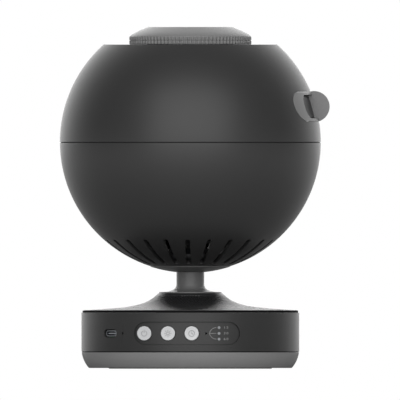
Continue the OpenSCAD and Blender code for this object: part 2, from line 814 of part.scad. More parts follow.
module disc_gear() {
    color("#2c2d30") difference() {
        translate([0, 0, zc - 1]) linear_extrude(height = 1.6)
            polygon(gear_points(disc_teeth, gear_module, disc_tip_r, gear_root_r, 0.12,
                disc_teeth % 2 == 0 ? 0 : 180 / disc_teeth));
        rod(0, 0, gear_root_r - 1.2, zc - 0.7, zc + 2);
        rod(0, 0, gear_root_r - 1.6, zc - 2, zc + 2);
    }
}

// ---------- swivel and top of the base ----------
module neck_collar() {
    r0 = foot_top - collar_height;
    fr = neck_r + 1;
    k = 4.2;
    color("#66686c") difference() {
        union() {
            rod(0, 0, collar_r, collar_height - collar_disc, collar_height);
            rod(0, 0, bush_out + 4.7, deck_top, collar_height - 0.2);
            rotate_extrude() difference() {
                translate([0, collar_height - 0.1]) square([fr + k, r0 + 0.1]);
                translate([fr + k, collar_height + k]) circle(r = k);
                translate([fr + k * 0.2, foot_top]) square([k * 2, k]);
            }
        }
        rod(0, 0, bush_out + fixed_fit, deck_top - 1, foot_top + 1);
    }
}

module bearing_bush() {
    color("#d8d2c2") ring(bush_out, bush_in, boss_bottom + 0.2, foot_top - 0.3);
}

module swivel_washer() {
    color("#b08d4a") ring(shaft_r + 3.2, shaft_r + 0.3, boss_bottom - 1, boss_bottom);
}

module speaker_mesh() {
    dr = flare_low_r - flare_high_r;
    dz = flare_high_z - flare_low_z;
    top = [for (p = flare_table) [flare_high_r + p[0] * dr, flare_low_z + p[1] * dz]];
    n = len(top) - 1;
    t = mesh_thickness;
    under = [for (i = [n:-1:0]) [top[i][0] - 0.8 * t * (i == 0 ? 0 : 1), top[i][1] - t]];
    color("#4b4c4e") difference() {
        rotate_extrude() polygon(concat(top, under));
        rod(0, 0, flare_high_r - 0.6, flare_high_z - 2, flare_high_z + 2);
    }
}

module speaker_frame() {
    r = speaker_r;
    color("#2a2b2d") translate([0, speaker_offset, 0]) difference() {
        union() {
            rod(0, 0, r, deck_top, deck_top + 0.8);
            rod(0, 0, r - 2.8, deck_top - 8, deck_top + 0.2);
            rod(0, 0, r - 8, deck_top - 15.6, deck_top - 7);
        }
        rod(0, 0, r - 4, deck_top - 6.5, deck_top + 2);
    }
}

module speaker_cone() {
    r = speaker_r;
    color("#1a1a1b") translate([0, speaker_offset, 0]) rotate_extrude()
        polygon([[0, deck_top - 3], [r * 0.2, deck_top - 3.6], [r * 0.22, deck_top - 4.4],
            [r - 5, deck_top - 0.8], [r - 4.05, deck_top - 0.8], [r - 4.05, deck_top - 1.6],
            [r - 5, deck_top - 1.6], [r * 0.24, deck_top - 5.4], [0, deck_top - 5.4]]);
}

// ---------- base ----------
module usb_outline(half_w, half_h, r0, r1) {
    rotate([0, 0, socket_direction]) translate([0, -r0, controls_height]) rotate([90, 0, 0])
        linear_extrude(height = r1 - r0) rounded(2 * half_w, 2 * half_h, half_h - 0.01);
}

module base_body() {
    color("#3c3e41") difference() {
        union() {
            difference() {
                rod(0, 0, base_r, drum_bottom, drum_height);
                rod(0, 0, drum_in, drum_bottom - 1, deck_low);
                rod(0, 0, drum_in, deck_top, drum_height + 1);
            }
            rod(0, 0, bush_out + 4.6, boss_bottom, deck_low + 0.5);
            for (a = boss_azimuths) rotate([0, 0, a]) rod(0, -boss_at, 3.8, plate_top, deck_low + 0.5);
            box(-shaft_r - 9.2, -shaft_r - 4.4, -0.8, 0.8, shaft_bottom, deck_low + 0.5);
        }
        rod(0, 0, base_r - 0.9, drum_height - 0.3, drum_height + 1);
        rod(0, 0, bush_out + fixed_fit, boss_bottom - 1, deck_top + 1);
        rod(0, speaker_offset, speaker_r - 2.6, deck_low - 1, deck_top + 1);
        for (a = boss_azimuths) rotate([0, 0, a]) rod(0, -boss_at, 1.5, plate_top - 1, 18);
        for (a = [-60:24:60]) rotate([0, 0, a]) rod(0, -38, 3.5, deck_low - 1, deck_top + 1);
        pill_y(fixed_fit + 0.1, -base_r - 5, -drum_in + 16);
        usb_outline(5.35, 2.3, drum_in - 3, base_r + 3);
        rotate([0, 0, reset_direction]) rod_y(0, controls_height, 0.7, -base_r - 2, -drum_in + 2);
    }
}

module lower_ring() {
    h = ring_height - 0.4;
    color("#85878a") rotate_extrude() polygon(concat(
        [for (p = ring_table) [base_r - p[0], 0.4 + p[1] * h]],
        [[ring_in - 3.5, 0.4], [ring_in - 3.5, plate_bottom], [ring_in, plate_bottom],
            [ring_in, ring_height + 2.4], [drum_in - 0.15, ring_height + 2.4],
            [drum_in - 0.15, ring_height]]));
}

module base_plate() {
    color("#2c2d2f") difference() {
        union() {
            rod(0, 0, ring_in - 0.2, plate_bottom, plate_top);
            for (p = post_points) rod(p[0], p[1], 2.6, plate_top - 0.5, main_board_z);
        }
        rod(0, 0, foot_r + fixed_fit, plate_bottom - 1, plate_bottom + 0.8);
        for (a = boss_azimuths) rotate([0, 0, a]) {
            rod(0, -boss_at, 3, plate_bottom - 1, plate_bottom + 1.4);
            rod(0, -boss_at, 1.7, plate_bottom, plate_top + 1);
        }
        for (p = post_points) rod(p[0], p[1], 1, plate_top + 1, main_board_z + 1);
    }
}

module ballast_plate() {
    color("#6b6d70") difference() {
        ring(foot_r - 6, shaft_r + 6, plate_top, plate_top + ballast_thickness);
        for (p = post_points) rod(p[0], p[1], 3, plate_top - 1, plate_top + 9);
    }
}

module rubber_foot() {
    color("#1c1c1d") rod(0, 0, foot_r, 0, plate_bottom + 0.8);
}

module base_screws() {
    color("#8d8f92") for (a = boss_azimuths) rotate([0, 0, a]) {
        rod(0, -boss_at, 2.8, plate_bottom + 0.1, plate_bottom + 1.4);
        rod(0, -boss_at, 1.5, plate_bottom + 1, 16);
    }
}

module main_board() {
    z = main_board_z + board_t;
    color("#1d5a3a") difference() {
        union() {
            intersection() {
                rod(0, 0, board_r, main_board_z, z);
                box(-board_r, board_r, -board_front, 8, main_board_z, z);
            }
            box(-8, 4, -22, -12, z - 0.5, z + 1.4);
            box(10, 16, board_y + 7.8, board_y + 13.8, z - 0.5, z + 1.2);
            box(-19, -10, -11, -5, z - 0.5, z + 2.2);
            box(14, 24, -14, -6, z - 0.5, z + 4);
            rod(-32, -12, 4, z - 0.5, z + 7);
            rod(34, -12, 4, z - 0.5, z + 7);
            box(-8, 8, board_y + 5.8, board_y + 11.8, z - 0.5, z + 3.5);
        }
        for (p = post_points) rod(p[0], p[1], 1.1, main_board_z - 1, z + 1);
    }
}

module board_screws() {
    z = main_board_z + board_t;
    color("#8d8f92") for (p = post_points) {
        rod(p[0], p[1], 1, plate_top + 2, z + 0.5);
        rod(p[0], p[1], 2, z, z + 1.3);
    }
}

module axis_cable() {
    z = main_board_z + board_t;
    color("#2b2c2e") union() {
        box(-5, 5, -4, 4, z, z + 3.2);
        rod(0, 0, cable_diameter / 2, z + 3, flange_top + 5);
    }
}

// ---------- controls ----------
module panel_shape(r_out, r_in) {
    intersection() {
        ring(r_out, r_in, controls_height - 12, controls_height + 12);
        pill_y(0, -base_r - 2, -drum_in + 18);
    }
}

module control_panel() {
    color("#232426") difference() {
        panel_shape(panel_face, panel_back);
        for (i = [-1:1]) rod_y(middle_button_x + i * button_pitch, controls_height,
            button_r + moving_gap, -80, -30);
        for (i = [-1:1]) rod_y(dot_x, controls_height + i * dot_pitch,
            dot_diameter / 2 + fixed_fit, -80, -30);
        rod_y(mic_x, controls_height, 0.7, -80, -30);
    }
}

module button_shape(x) {
    edge = -sqrt(panel_back * panel_back - pow(abs(x) + button_r + 0.9, 2));
    z = controls_height;
    union() {
        intersection() {
            rod_y(x, z, button_r, -base_r - 5, edge + 1.2);
            rod(0, 0, button_face, z - 10, z + 10);
        }
        rod_y(x, z, button_r + 0.9, edge + moving_gap + 0.1, edge + 1.6);
        rod_y(x, z, 1.9, edge + 1, plunger_tip - 0.9);
    }
}

module left_button() {
    color("#c9c9c6") button_shape(middle_button_x - button_pitch);
}

module middle_button() {
    color("#c9c9c6") button_shape(middle_button_x);
}

module right_button() {
    color("#c9c9c6") button_shape(middle_button_x + button_pitch);
}

module switch_board() {
    z = main_board_z + board_t;
    color("#1d5a3a") union() {
        difference() {
            box(-33, 26, board_y, board_y + 1.6, z, controls_height + 7);
            rotate([0, 0, socket_direction])
                box(-7 - moving_gap, 7 + moving_gap, -base_r, -39.5, z - 1, controls_height);
        }
        for (i = [-1:1]) box(dot_x - 1, dot_x + 1, board_y - 0.8, board_y + 0.5,
            controls_height + i * dot_pitch - 0.6, controls_height + i * dot_pitch + 0.6);
    }
}

module tact_switches() {
    color("#55575a") for (i = [-1:1]) {
        x = middle_button_x + i * button_pitch;
        box(x - 3, x + 3, board_y - switch_height, board_y, controls_height - 3, controls_height + 3);
        rod_y(x, controls_height, 1.6, plunger_tip, board_y - 1);
    }
}

module indicator_pipes() {
    color("#d9dde0") for (i = [-1:1]) intersection() {
        rod_y(dot_x, controls_height + i * dot_pitch, dot_diameter / 2, -80, board_y - 0.9);
        rod(0, 0, panel_face + 0.05, 0, 40);
    }
}

module microphone() {
    color("#8f9194") rod_y(mic_x, controls_height, 2, board_y - 2.4, board_y);
}

module usb_socket() {
    color("#aeb1b5") union() {
        difference() {
            usb_outline(socket_half_w, socket_half_h, base_r - 8.6, base_r - 1.2);
            usb_outline(socket_half_w - 0.3, socket_half_h - 0.35, base_r - 7.4, base_r);
        }
        rotate([0, 0, socket_direction])
            box(-3.35, 3.35, -base_r + 2.2, -base_r + 7.8, controls_height - 0.35, controls_height + 0.35);
    }
}

module usb_board() {
    z1 = controls_height - socket_half_h;
    color("#1d5a3a") rotate([0, 0, socket_direction]) union() {
        box(-7, 7, -base_r + 5, -40, z1 - 1.2, z1);
        for (s = [-1, 1]) rod(s * 5, -43, 1.5, main_board_z + board_t, z1 - 1);
    }
}

upper_shell();
lower_shell();
slot_bezel();
neck_flange();
neck_tube();
neck_nut();
lamp_chassis();
cartridge_guide();
condenser_lens();
led_board();
led_emitter();
heat_sink();
fan_frame();
disc_motor();
driver_board();
head_loom();
lens_guide();
chassis_screws();
optics_screws();
fan_screws();
swivel_nut();
focus_ring();
ring_clip();
lens_barrel();
front_lens();
rear_lens();
lens_retainer();
cartridge_tray();
cartridge_fascia();
cartridge_grip();
disc_retainer();
star_disc();
disc_gear();
disc_pinion();
fan_rotor();
left_button();
middle_button();
right_button();
neck_collar();
bearing_bush();
swivel_washer();
speaker_mesh();
speaker_frame();
speaker_cone();
base_body();
lower_ring();
base_plate();
ballast_plate();
rubber_foot();
main_board();
control_panel();
switch_board();
tact_switches();
indicator_pipes();
microphone();
usb_socket();
usb_board();
axis_cable();
base_screws();
board_screws();
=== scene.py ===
"""Looks of a home planetarium projector: ball head with focus ring and disc cartridge, thin neck, round
speaker base with three buttons. Metres, +Z up, front is -Y."""
import json
import math

import bmesh
import bpy
import numpy as np
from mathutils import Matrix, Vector

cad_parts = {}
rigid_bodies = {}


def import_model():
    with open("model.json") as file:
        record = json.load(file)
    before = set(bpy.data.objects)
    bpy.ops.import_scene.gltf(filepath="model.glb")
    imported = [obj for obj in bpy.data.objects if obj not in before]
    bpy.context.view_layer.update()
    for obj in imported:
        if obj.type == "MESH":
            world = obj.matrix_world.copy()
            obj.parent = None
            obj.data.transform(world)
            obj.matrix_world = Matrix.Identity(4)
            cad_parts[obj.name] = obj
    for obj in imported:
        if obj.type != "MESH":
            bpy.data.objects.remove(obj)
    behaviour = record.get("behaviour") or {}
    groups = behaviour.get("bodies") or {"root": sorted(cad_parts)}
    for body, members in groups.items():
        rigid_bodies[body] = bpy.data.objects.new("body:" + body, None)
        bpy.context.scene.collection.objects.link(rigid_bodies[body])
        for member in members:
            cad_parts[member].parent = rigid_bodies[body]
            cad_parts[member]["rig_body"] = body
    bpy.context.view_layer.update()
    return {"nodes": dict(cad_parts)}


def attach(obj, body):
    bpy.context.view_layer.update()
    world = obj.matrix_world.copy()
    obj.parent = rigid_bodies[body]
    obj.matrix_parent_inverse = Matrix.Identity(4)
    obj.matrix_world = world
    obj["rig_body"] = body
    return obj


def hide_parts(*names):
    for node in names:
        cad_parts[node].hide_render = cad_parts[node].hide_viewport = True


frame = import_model()
MM = 0.001
TAU = 2 * math.pi

# sizes repeated from the part's source, in mm; DRUM_TOP is 1 mm lower than there, for the gasket under the grille,
# whose black paints the shade of the groove there
BALL_R, WALL, BALL_Z = 75.0, 2.5, 130.3
FLAT_R = 49.9
FLAT_Z = BALL_Z + math.sqrt(BALL_R ** 2 - FLAT_R ** 2)
SLOT_Z = BALL_Z + 20.35
GRIP_HALF = 6.0
BEZEL_HALF_Y, BEZEL_HALF_Z, BEZEL_ROUND = 40.0, 8.45, 8.35
FLAT_BORE, SLEEVE_OUT, BARREL_R, FRONT_R = 25.1, 24.76, 22.0, 17.0
NECK_R, FLANGE_R, SWIVEL_Z, COLLAR_R, COLLAR_Z = 8.0, 23.0, 46.3, 18.0, 44.1
SHAFT_R, SHAFT_LOW, CABLE_R, NECK_TOP = 6.0, 24.0, 3.5, 69.04
GRILLE_IN, GRILLE_OUT, GRILLE_LOW, GRILLE_HIGH = 18.6, 61.4, 33.6, 43.3
PANEL_FACE, PANEL_SHIFT, KEY_MIDDLE, KEY_PITCH, KEY_R, KEY_PROUD = 61.8, -1.9, -12.9, 13.65, 4.1, 0.9
RING_R, RIM_R, RING_Z, RING_HIGH, SLEEVE_LOW = 35.1, 24.1, FLAT_Z + 0.3, 9.8, 178
RING_TOP = RING_Z + RING_HIGH
BASE_R, DRUM_TOP = 62.6, 32.2
CONTROLS_Z = 20.3

# the photograph's frame: its scale, the pixel column of the axis and the pixel row of the table top
MM_PER_PIXEL, AXIS_PIXEL, TABLE_PIXEL = 0.5747, 190.35, 368.7


# ---------------------------------------------------------------- mesh tools
def linear(hex_colour):
    """sRGB hex to linear RGBA: each channel below 0.04045 is divided by 12.92, above it goes through the
    2.4 power law."""
    c = [int(hex_colour[i:i + 2], 16) / 255 for i in (1, 3, 5)]
    return [x / 12.92 if x <= 0.04045 else ((x + 0.055) / 1.055) ** 2.4 for x in c] + [1.0]


def mesh_object(name, verts, faces, finish, smooth=True):
    """A mesh at the origin from vertices in mm and faces as rows of indices."""
    me = bpy.data.meshes.new(name)
    me.from_pydata((np.asarray(verts, float) * MM).tolist(), [], [list(map(int, f)) for f in faces])
    me.validate()
    me.polygons.foreach_set("use_smooth", np.full(len(me.polygons), smooth))
    me.materials.append(finish)
    obj = bpy.data.objects.new(name, me)
    bpy.context.scene.collection.objects.link(obj)
    return obj


def grid_faces(nu, nv, wrap_u=False, wrap_v=False):
    """Quads between neighbours of an nu by nv grid, point (i, j) at index i * nv + j."""
    iu = np.arange(nu if wrap_u else nu - 1)
    jv = np.arange(nv if wrap_v else nv - 1)
    a, b = np.meshgrid(iu, jv, indexing="ij")
    a2, b2 = (a + 1) % nu, (b + 1) % nv
    return np.stack([a * nv + b, a2 * nv + b, a2 * nv + b2, a * nv + b2], -1).reshape(-1, 4)


def filleted(points, radii, steps=5):
    """A closed outline with its corners rounded: at each corner the two edges are cut back to the tangent
    points of a circle of the corner's radius, and the arc between them is sampled."""
    p = np.asarray(points, float)
    out = []
    for i, r in enumerate(radii):
        a, b, c = p[i - 1], p[i], p[(i + 1) % len(p)]
        u, v = (a - b) / np.linalg.norm(a - b), (c - b) / np.linalg.norm(c - b)
        half = math.acos(np.clip(u @ v, -1, 1)) / 2
        if r <= 0 or half > math.pi / 2 - 0.02:
            out.append(b[None])
            continue
        cut = min(r / math.tan(half), 0.45 * np.linalg.norm(a - b), 0.45 * np.linalg.norm(c - b))
        r = cut * math.tan(half)
        mid = b + (u + v) / np.linalg.norm(u + v) * r / math.sin(half)
        s, e = b + u * cut - mid, b + v * cut - mid
        turn = math.atan2(s[0] * e[1] - s[1] * e[0], s @ e)
        t = np.linspace(0, turn, steps)[:, None]
        out.append(mid + s * np.cos(t) + np.array([-s[1], s[0]]) * np.sin(t))
    return np.concatenate(out)


def turned(name, outline, finish, around=192, warp=None):
    """A closed outline of (radius, height) carried round the Z axis: x = r sin t, y = -r cos t. warp(t, r, z)
    may move the points before they are placed. The outline runs anticlockwise in the (r, z) plane."""
    tt = np.repeat(np.arange(around)[:, None] / around * TAU, len(outline), 1)
    r, z = (np.repeat(np.asarray(outline)[None, :, k], around, 0) for k in (0, 1))
    if warp:
        r, z = warp(tt, r, z)
    v = np.stack([r * np.sin(tt), -r * np.cos(tt), z], -1).reshape(-1, 3)
    obj = merged(mesh_object(name, v, grid_faces(around, len(outline), True, True), finish))
    obj.modifiers.new("face weighted shading", "WEIGHTED_NORMAL")
    return obj


def merged(obj, distance=1e-6):
    """Welds points closer than distance and makes the normals point out."""
    bm = bmesh.new()
    bm.from_mesh(obj.data)
    bmesh.ops.remove_doubles(bm, verts=bm.verts, dist=distance)
    bmesh.ops.recalc_face_normals(bm, faces=bm.faces)
    bm.to_mesh(obj.data)
    bm.free()
    return obj


def eased(obj, width):
    """Rounds every edge sharper than 35 degrees by a bevel of width mm, and lets the big faces keep their
    shading."""
    b = obj.modifiers.new("eased edges", "BEVEL")
    b.width, b.segments, b.limit_method = width * MM, 2, "ANGLE"
    b.angle_limit, b.use_clamp_overlap, b.miter_outer = math.radians(35), True, "MITER_ARC"
    w = obj.modifiers.new("face weighted shading", "WEIGHTED_NORMAL")
    w.keep_sharp = True
    return obj


def node_copy(node, name, top=None):
    """A welded copy of a CAD node, shaded smooth, without the normals stored in it. Points above the height top
    mm come down to it."""
    obj = bpy.data.objects.new(name, frame["nodes"][node].data.copy())
    bpy.context.scene.collection.objects.link(obj)
    me = obj.data
    if "custom_normal" in me.attributes:
        me.attributes.remove(me.attributes["custom_normal"])
    if top:
        co = np.zeros(3 * len(me.vertices))
        me.vertices.foreach_get("co", co)
        co[2::3] = np.minimum(co[2::3], top * MM)
        me.vertices.foreach_set("co", co)
    merged(obj)
    me.polygons.foreach_set("use_smooth", np.ones(len(me.polygons), bool))
    return obj


def softened(node, width, top=None):
    """A copy of a CAD node with its edges eased by width mm; it stands for that node."""
    src = frame["nodes"][node]
    obj = eased(node_copy(node, node + "_finished", top), width)
    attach(obj, src["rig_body"])
    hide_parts(node)
    return obj


# ---------------------------------------------------------------- walls with openings
def block_edge(block):
    """The lattice points round a block of cells (first and last column, first and last row), anticlockwise."""
    i0, i1, j0, j1 = block
    i = np.concatenate([np.arange(i0, i1), np.full(j1 - j0, i1), np.arange(i1, i0, -1), np.full(j1 - j0, i0)])
    j = np.concatenate([np.full(i1 - i0, j0), np.arange(j0, j1), np.full(i1 - i0, j1), np.arange(j1, j0, -1)])
    return i, j


def resampled(line, n, keys=()):
    """n points spread evenly by arc length along a line, its end left out; the point nearest to each key
    moves onto it."""
    length = np.concatenate([[0], np.cumsum(np.linalg.norm(np.diff(line, axis=0), axis=1))])
    s = np.linspace(0, length[-1], n + 1)
    for key in keys:
        at = length[np.argmin(np.linalg.norm(line - np.asarray(key), axis=1))]
        s[1 + np.argmin(abs(s[1:-1] - at))] = at
    s = np.sort(s)[:-1]
    return np.stack([np.interp(s, length, line[:, k]) for k in (0, 1)], -1)


def opening_outline(block, half_w, half_h, r, lap=45, notch=None):
    """A rounded rectangle with one point for each point round a block. Each corner arc is shared between two
    sides, lap degrees of it going to the long way across. notch = (half width, top, bottom) steps out of the
    middle of the upper and lower side."""
    def arc(sx, sy, start, end):
        """The corner on the side sx, sy, from start to end degrees."""
        t = np.radians(np.linspace(start, end, 13))[:, None]
        return np.array([sx * (half_w - r), sy * (half_h - r)]) + r * np.concatenate([np.cos(t), np.sin(t)], 1)

    def step(side, direction):
        """The notch's corners in the upper (1) or lower (-1) side, in the order that direction gives."""
        if notch is None:
            return np.zeros((0, 2))
        w, far = notch[0], notch[1] if side > 0 else notch[2]
        p = np.array([[-w, side * half_h], [-w, far], [w, far], [w, side * half_h]])
        return p[::direction]
    i0, i1, j0, j1 = block
    low, high = step(-1, 1), step(1, -1)
    sides = [
        (i1 - i0, [arc(-1, -1, 270 - lap, 270), low, arc(1, -1, 270, 270 + lap)], low),
        (j1 - j0, [arc(1, -1, 270 + lap, 360), arc(1, 1, 0, 90 - lap)], ()),
        (i1 - i0, [arc(1, 1, 90 - lap, 90), high, arc(-1, 1, 90, 90 + lap)], high),
        (j1 - j0, [arc(-1, 1, 90 + lap, 180), arc(-1, -1, 180, 270 - lap)], ())]
    return np.concatenate([resampled(np.concatenate(line), n, keys) for n, line, keys in sides])


def pierced_wall(name, a, b, outer, inner, openings, finish, below=(), above=(), steps=4):
    """A closed wall between the surfaces outer(a, b) and inner(a, b), on a lattice with columns at the angles a,
    which go right round, and rows at b. Each opening takes a block of cells out of both surfaces. steps rings
    of quads run from the block's edge to the opening's outline, and a wall joins the two outlines. below and
    above are (radius, height) rings that lead from the outer to the inner surface at the first and last row."""
    nu, nv = len(a), len(b)
    whole = np.ones((nu, nv - 1), bool)
    verts, faces, bases, rims = [], [], [], []

    def place(points):
        """Adds points and returns their indices."""
        start = sum(map(len, verts))
        verts.append(points.reshape(-1, 3))
        return start + np.arange(len(verts[-1]))

    def band(loop, onward):
        """Adds a ring of quads between two loops and returns the second."""
        faces.append(np.stack([loop, np.roll(loop, -1), np.roll(onward, -1), onward], -1))
        return onward
    for k, surface in enumerate((outer, inner)):
        base = place(surface(*np.meshgrid(a, b, indexing="ij")))[0]
        bases.append(base)
        ends = []
        for block, outlines in openings:
            i0, i1, j0, j1 = block
            whole[np.arange(i0, i1) % nu, j0:j1] = False
            i, j = block_edge(block)
            edge = np.stack([a[i % nu] + TAU * (i // nu), b[j]], -1)
            loop = base + (i % nu) * nv + j
            for t in np.linspace(0, 1, steps + 1)[1:]:
                p = edge + (outlines[k] - edge) * t
                loop = band(loop, place(surface(p[:, 0], p[:, 1])))
            ends.append(loop)
        rims.append(ends)
    for base in bases:
        faces.append(base + grid_faces(nu, nv, True).reshape(nu, nv - 1, 4)[whole])
    for near, far in zip(*rims):
        band(near, far)
    for row, path in ((0, below), (nv - 1, above)):
        loop = bases[0] + np.arange(nu) * nv + row
        for r, z in path:
            loop = band(loop, place(np.stack([r * np.sin(a), -r * np.cos(a), np.full(nu, z)], -1)))
        band(loop, bases[1] + np.arange(nu) * nv + row)
    verts, faces = np.concatenate(verts), np.concatenate(faces)
    used = np.unique(faces)
    return merged(mesh_object(name, verts[used], np.searchsorted(used, faces), finish))


# ---------------------------------------------------------------- materials
def add(mat, kind, inputs=None, **settings):
    """Adds one node, sets its properties and its sockets; a socket given as (node, output) is linked."""
    n = mat.node_tree.nodes.new(kind)
    for k, v in settings.items():
        setattr(n, k, v)
    for k, v in (inputs or {}).items():
        if isinstance(v, tuple) and len(v) == 2 and hasattr(v[0], "outputs"):
            mat.node_tree.links.new(v[0].outputs[v[1]], n.inputs[k])
        else:
            n.inputs[k].default_value = v
    return n


def material(name):
    """An empty node material."""
    m = bpy.data.materials.new(name)
    m.use_nodes = True
    m.node_tree.nodes.clear()
    return m


def shaded(mat, sockets):
    """Ends a material: its shader, with the sockets set or linked, and its output."""
    shader = add(mat, "ShaderNodeBsdfPrincipled", sockets)
    add(mat, "ShaderNodeOutputMaterial", {"Surface": (shader, 0)})
    return mat


def moulded_plastic(name, colour, rough=0.42, spark=0.10, relief=0.02, grit=0.35, specular=0.5):
    """Moulded plastic with a fine spark-eroded texture: bumps of grit mm and a slow drift of tone over 30 mm. To
    the eye it is an even satin with a broad, soft highlight."""
    m = material(name)
    where = add(m, "ShaderNodeTexCoord")
    fine = add(m, "ShaderNodeTexNoise", {"Vector": (where, "Object"), "Scale": 1000 / grit, "Detail": 2.0})
    slow = add(m, "ShaderNodeTexNoise", {"Vector": (where, "Object"), "Scale": 30.0, "Detail": 3.0})
    tone = add(m, "ShaderNodeMapRange", {"Value": (fine, 0), "To Min": 1 - spark, "To Max": 1 + spark})
    drift = add(m, "ShaderNodeMapRange", {"Value": (slow, 0), "To Min": 0.96, "To Max": 1.04})
    both = add(m, "ShaderNodeMath", {0: (tone, 0), 1: (drift, 0)}, operation="MULTIPLY")
    shade = add(m, "ShaderNodeHueSaturation", {"Color": linear(colour), "Value": (both, 0)})
    gloss = add(m, "ShaderNodeMapRange", {"Value": (fine, 0), "To Min": rough - 0.05, "To Max": rough + 0.07})
    bump = add(m, "ShaderNodeBump", {"Height": (fine, 0), "Strength": 0.35, "Distance": relief * MM})
    return shaded(m, {"Base Color": (shade, 0), "Roughness": (gloss, 0), "Normal": (bump, 0),
                      "Specular IOR Level": specular, "IOR": 1.53})


def metal(name, colour, rough, brushed=0.0, axis_scale=(1, 1, 1)):
    """Bare or plated metal; brushed raises hairlines under 1 mm apart, stretched along the axis with the small
    scale. To the eye its highlights are tight and have the metal's own colour."""
    m = material(name)
    where = add(m, "ShaderNodeTexCoord")
    place = add(m, "ShaderNodeMapping", {"Vector": (where, "Object"), "Scale": [1500 * a for a in axis_scale]})
    lines = add(m, "ShaderNodeTexNoise", {"Vector": (place, 0), "Scale": 1.0, "Detail": 3.0})
    tone = add(m, "ShaderNodeMapRange", {"Value": (lines, 0), "To Min": 0.9, "To Max": 1.08})
    shade = add(m, "ShaderNodeHueSaturation", {"Color": linear(colour), "Value": (tone, 0)})
    gloss = add(m, "ShaderNodeMapRange", {"Value": (lines, 0), "To Min": rough - 0.06, "To Max": rough + 0.1})
    bump = add(m, "ShaderNodeBump", {"Height": (lines, 0), "Strength": brushed, "Distance": 0.02 * MM})
    return shaded(m, {"Base Color": (shade, 0), "Roughness": (gloss, 0), "Normal": (bump, 0), "Metallic": 1.0})


def clear_glass(name, colour, rough=0.02, ior=1.49):
    """Ground and coated optical glass: passes light, with a faint bluish tint and sharp reflections."""
    m = material(name)
    where = add(m, "ShaderNodeTexCoord")
    haze = add(m, "ShaderNodeTexNoise", {"Vector": (where, "Object"), "Scale": 200.0, "Detail": 2.0})
    gloss = add(m, "ShaderNodeMapRange", {"Value": (haze, 0), "To Min": rough, "To Max": rough + 0.03})
    return shaded(m, {"Base Color": linear(colour), "Roughness": (gloss, 0), "Transmission Weight": 0.9, "IOR": ior})


def circuit_board(name, colour):
    """Solder-masked board: copper tracks show as slightly lighter lanes 0.8 mm apart under the glossy mask."""
    m = material(name)
    where = add(m, "ShaderNodeTexCoord")
    lanes = add(m, "ShaderNodeTexBrick", {"Vector": (where, "Object"), "Scale": 320.0, "Color1": linear(colour),
        "Color2": linear("#256b46"), "Mortar": linear("#174c30"), "Mortar Size": 0.03})
    bump = add(m, "ShaderNodeBump", {"Height": (lanes, "Fac"), "Strength": 0.3, "Distance": 0.03 * MM})
    return shaded(m, {"Base Color": (lanes, "Color"), "Roughness": 0.3, "Normal": (bump, 0)})


# outer plastics: one satin with a broad highlight, so that only their greys tell the pieces apart
shell_abs = moulded_plastic("moulded ABS, dark grey, satin spark texture", "#2b2b2b", 0.42, specular=0.32)
lower_abs = moulded_plastic("moulded ABS, dark grey, lower shell", "#2b2b2b", 0.42, specular=0.32)
drum_abs = moulded_plastic("moulded ABS, base drum", "#2b2b2b", 0.42, specular=0.32)
trim_abs = moulded_plastic("moulded ABS, mid grey trim", "#6c6c6c", 0.42, specular=0.32)
ring_abs = moulded_plastic("moulded ABS, focus ring", "#717171", 0.4, specular=0.32)
neck_abs = moulded_plastic("moulded ABS, neck", "#606060", 0.4, specular=0.32)
foot_ring_abs = moulded_plastic("moulded ABS, lower ring", "#7b7b7b", 0.42, specular=0.32)
panel_abs = moulded_plastic("moulded ABS, control panel", "#2d2d2d", 0.4, specular=0.32)
key_abs = moulded_plastic("moulded ABS, silver paint on the keys", "#bfc0c1", 0.36, specular=0.32)
# inner plastics: darker, and dull in the lens so that nothing glints there; the gear is milky
black_abs = moulded_plastic("moulded black ABS, inner parts", "#1f2022", 0.5)
matt_black = moulded_plastic("anti-reflection black paint in the lens", "#101011", 0.7, specular=0.3)
acetal = moulded_plastic("moulded acetal gear", "#e6e2d6", 0.35)
# paper, rubber, foam and cloth: so rough that they show no clear highlight
pulp = moulded_plastic("pressed paper cone", "#1a1a1b", 0.8, spark=0.25, relief=0.1, grit=0.8, specular=0.2)
natural_rubber = moulded_plastic("moulded rubber", "#1c1c1d", 0.75, spark=0.12, relief=0.05, grit=0.6, specular=0.3)
# painted shade: this near-black foam fills the grooves at the drum's upper and lower seams, where it stands for their
# shade
gasket_painted_shade = moulded_plastic("black foam gasket, painted groove shade", "#0d0d0e", 0.9, relief=0.05, grit=0.5, specular=0.1)
cloth_black = moulded_plastic("woven acoustic cloth, black", "#0b0b0c", 0.95, spark=0.2, relief=0.05, grit=0.4,
                              specular=0.1)
# cable, film and inks: smooth skins, the film glossy and the inks flat
cable_pvc = moulded_plastic("extruded PVC jacket", "#2b2c2e", 0.5)
film = moulded_plastic("printed film disc with star holes", "#15161a", 0.15, spark=0.3, relief=0.0, grit=0.5)
print_ink = moulded_plastic("pad-printed grey ink", "#808080", 0.5, spark=0.05, relief=0.0)
icon_ink = moulded_plastic("pad-printed dark ink", "#9a9b9c", 0.5, spark=0.05, relief=0.0)
# lamp: a warm yellow dot on white
phosphor = moulded_plastic("silicone over yellow phosphor", "#f2d36b", 0.3)
white_mask = moulded_plastic("white solder mask on aluminium", "#e8e8e2", 0.4)
# metals: plated ones bright grey, blackened and anodised ones nearly black
steel = metal("zinc plated steel", "#8d8f92", 0.35)
blackened_steel = metal("chemically blackened steel", "#242527", 0.5)
nickel = metal("nickel plated socket shell", "#aeb1b5", 0.28, 0.2, (1, 1, 0.1))
sink_alu = metal("black anodised extruded aluminium heat sink", "#26272a", 0.45, 0.3, (1, 0.05, 1))
brass = metal("turned brass", "#b08d4a", 0.3, 0.2)
# painted metal: a fine even skin, a little shinier than the shell
mesh_steel = moulded_plastic("powder coated perforated steel", "#1f1f20", 0.35, spark=0.15, relief=0.03, grit=0.3)
painted_steel = moulded_plastic("painted steel basket", "#2a2b2d", 0.4)
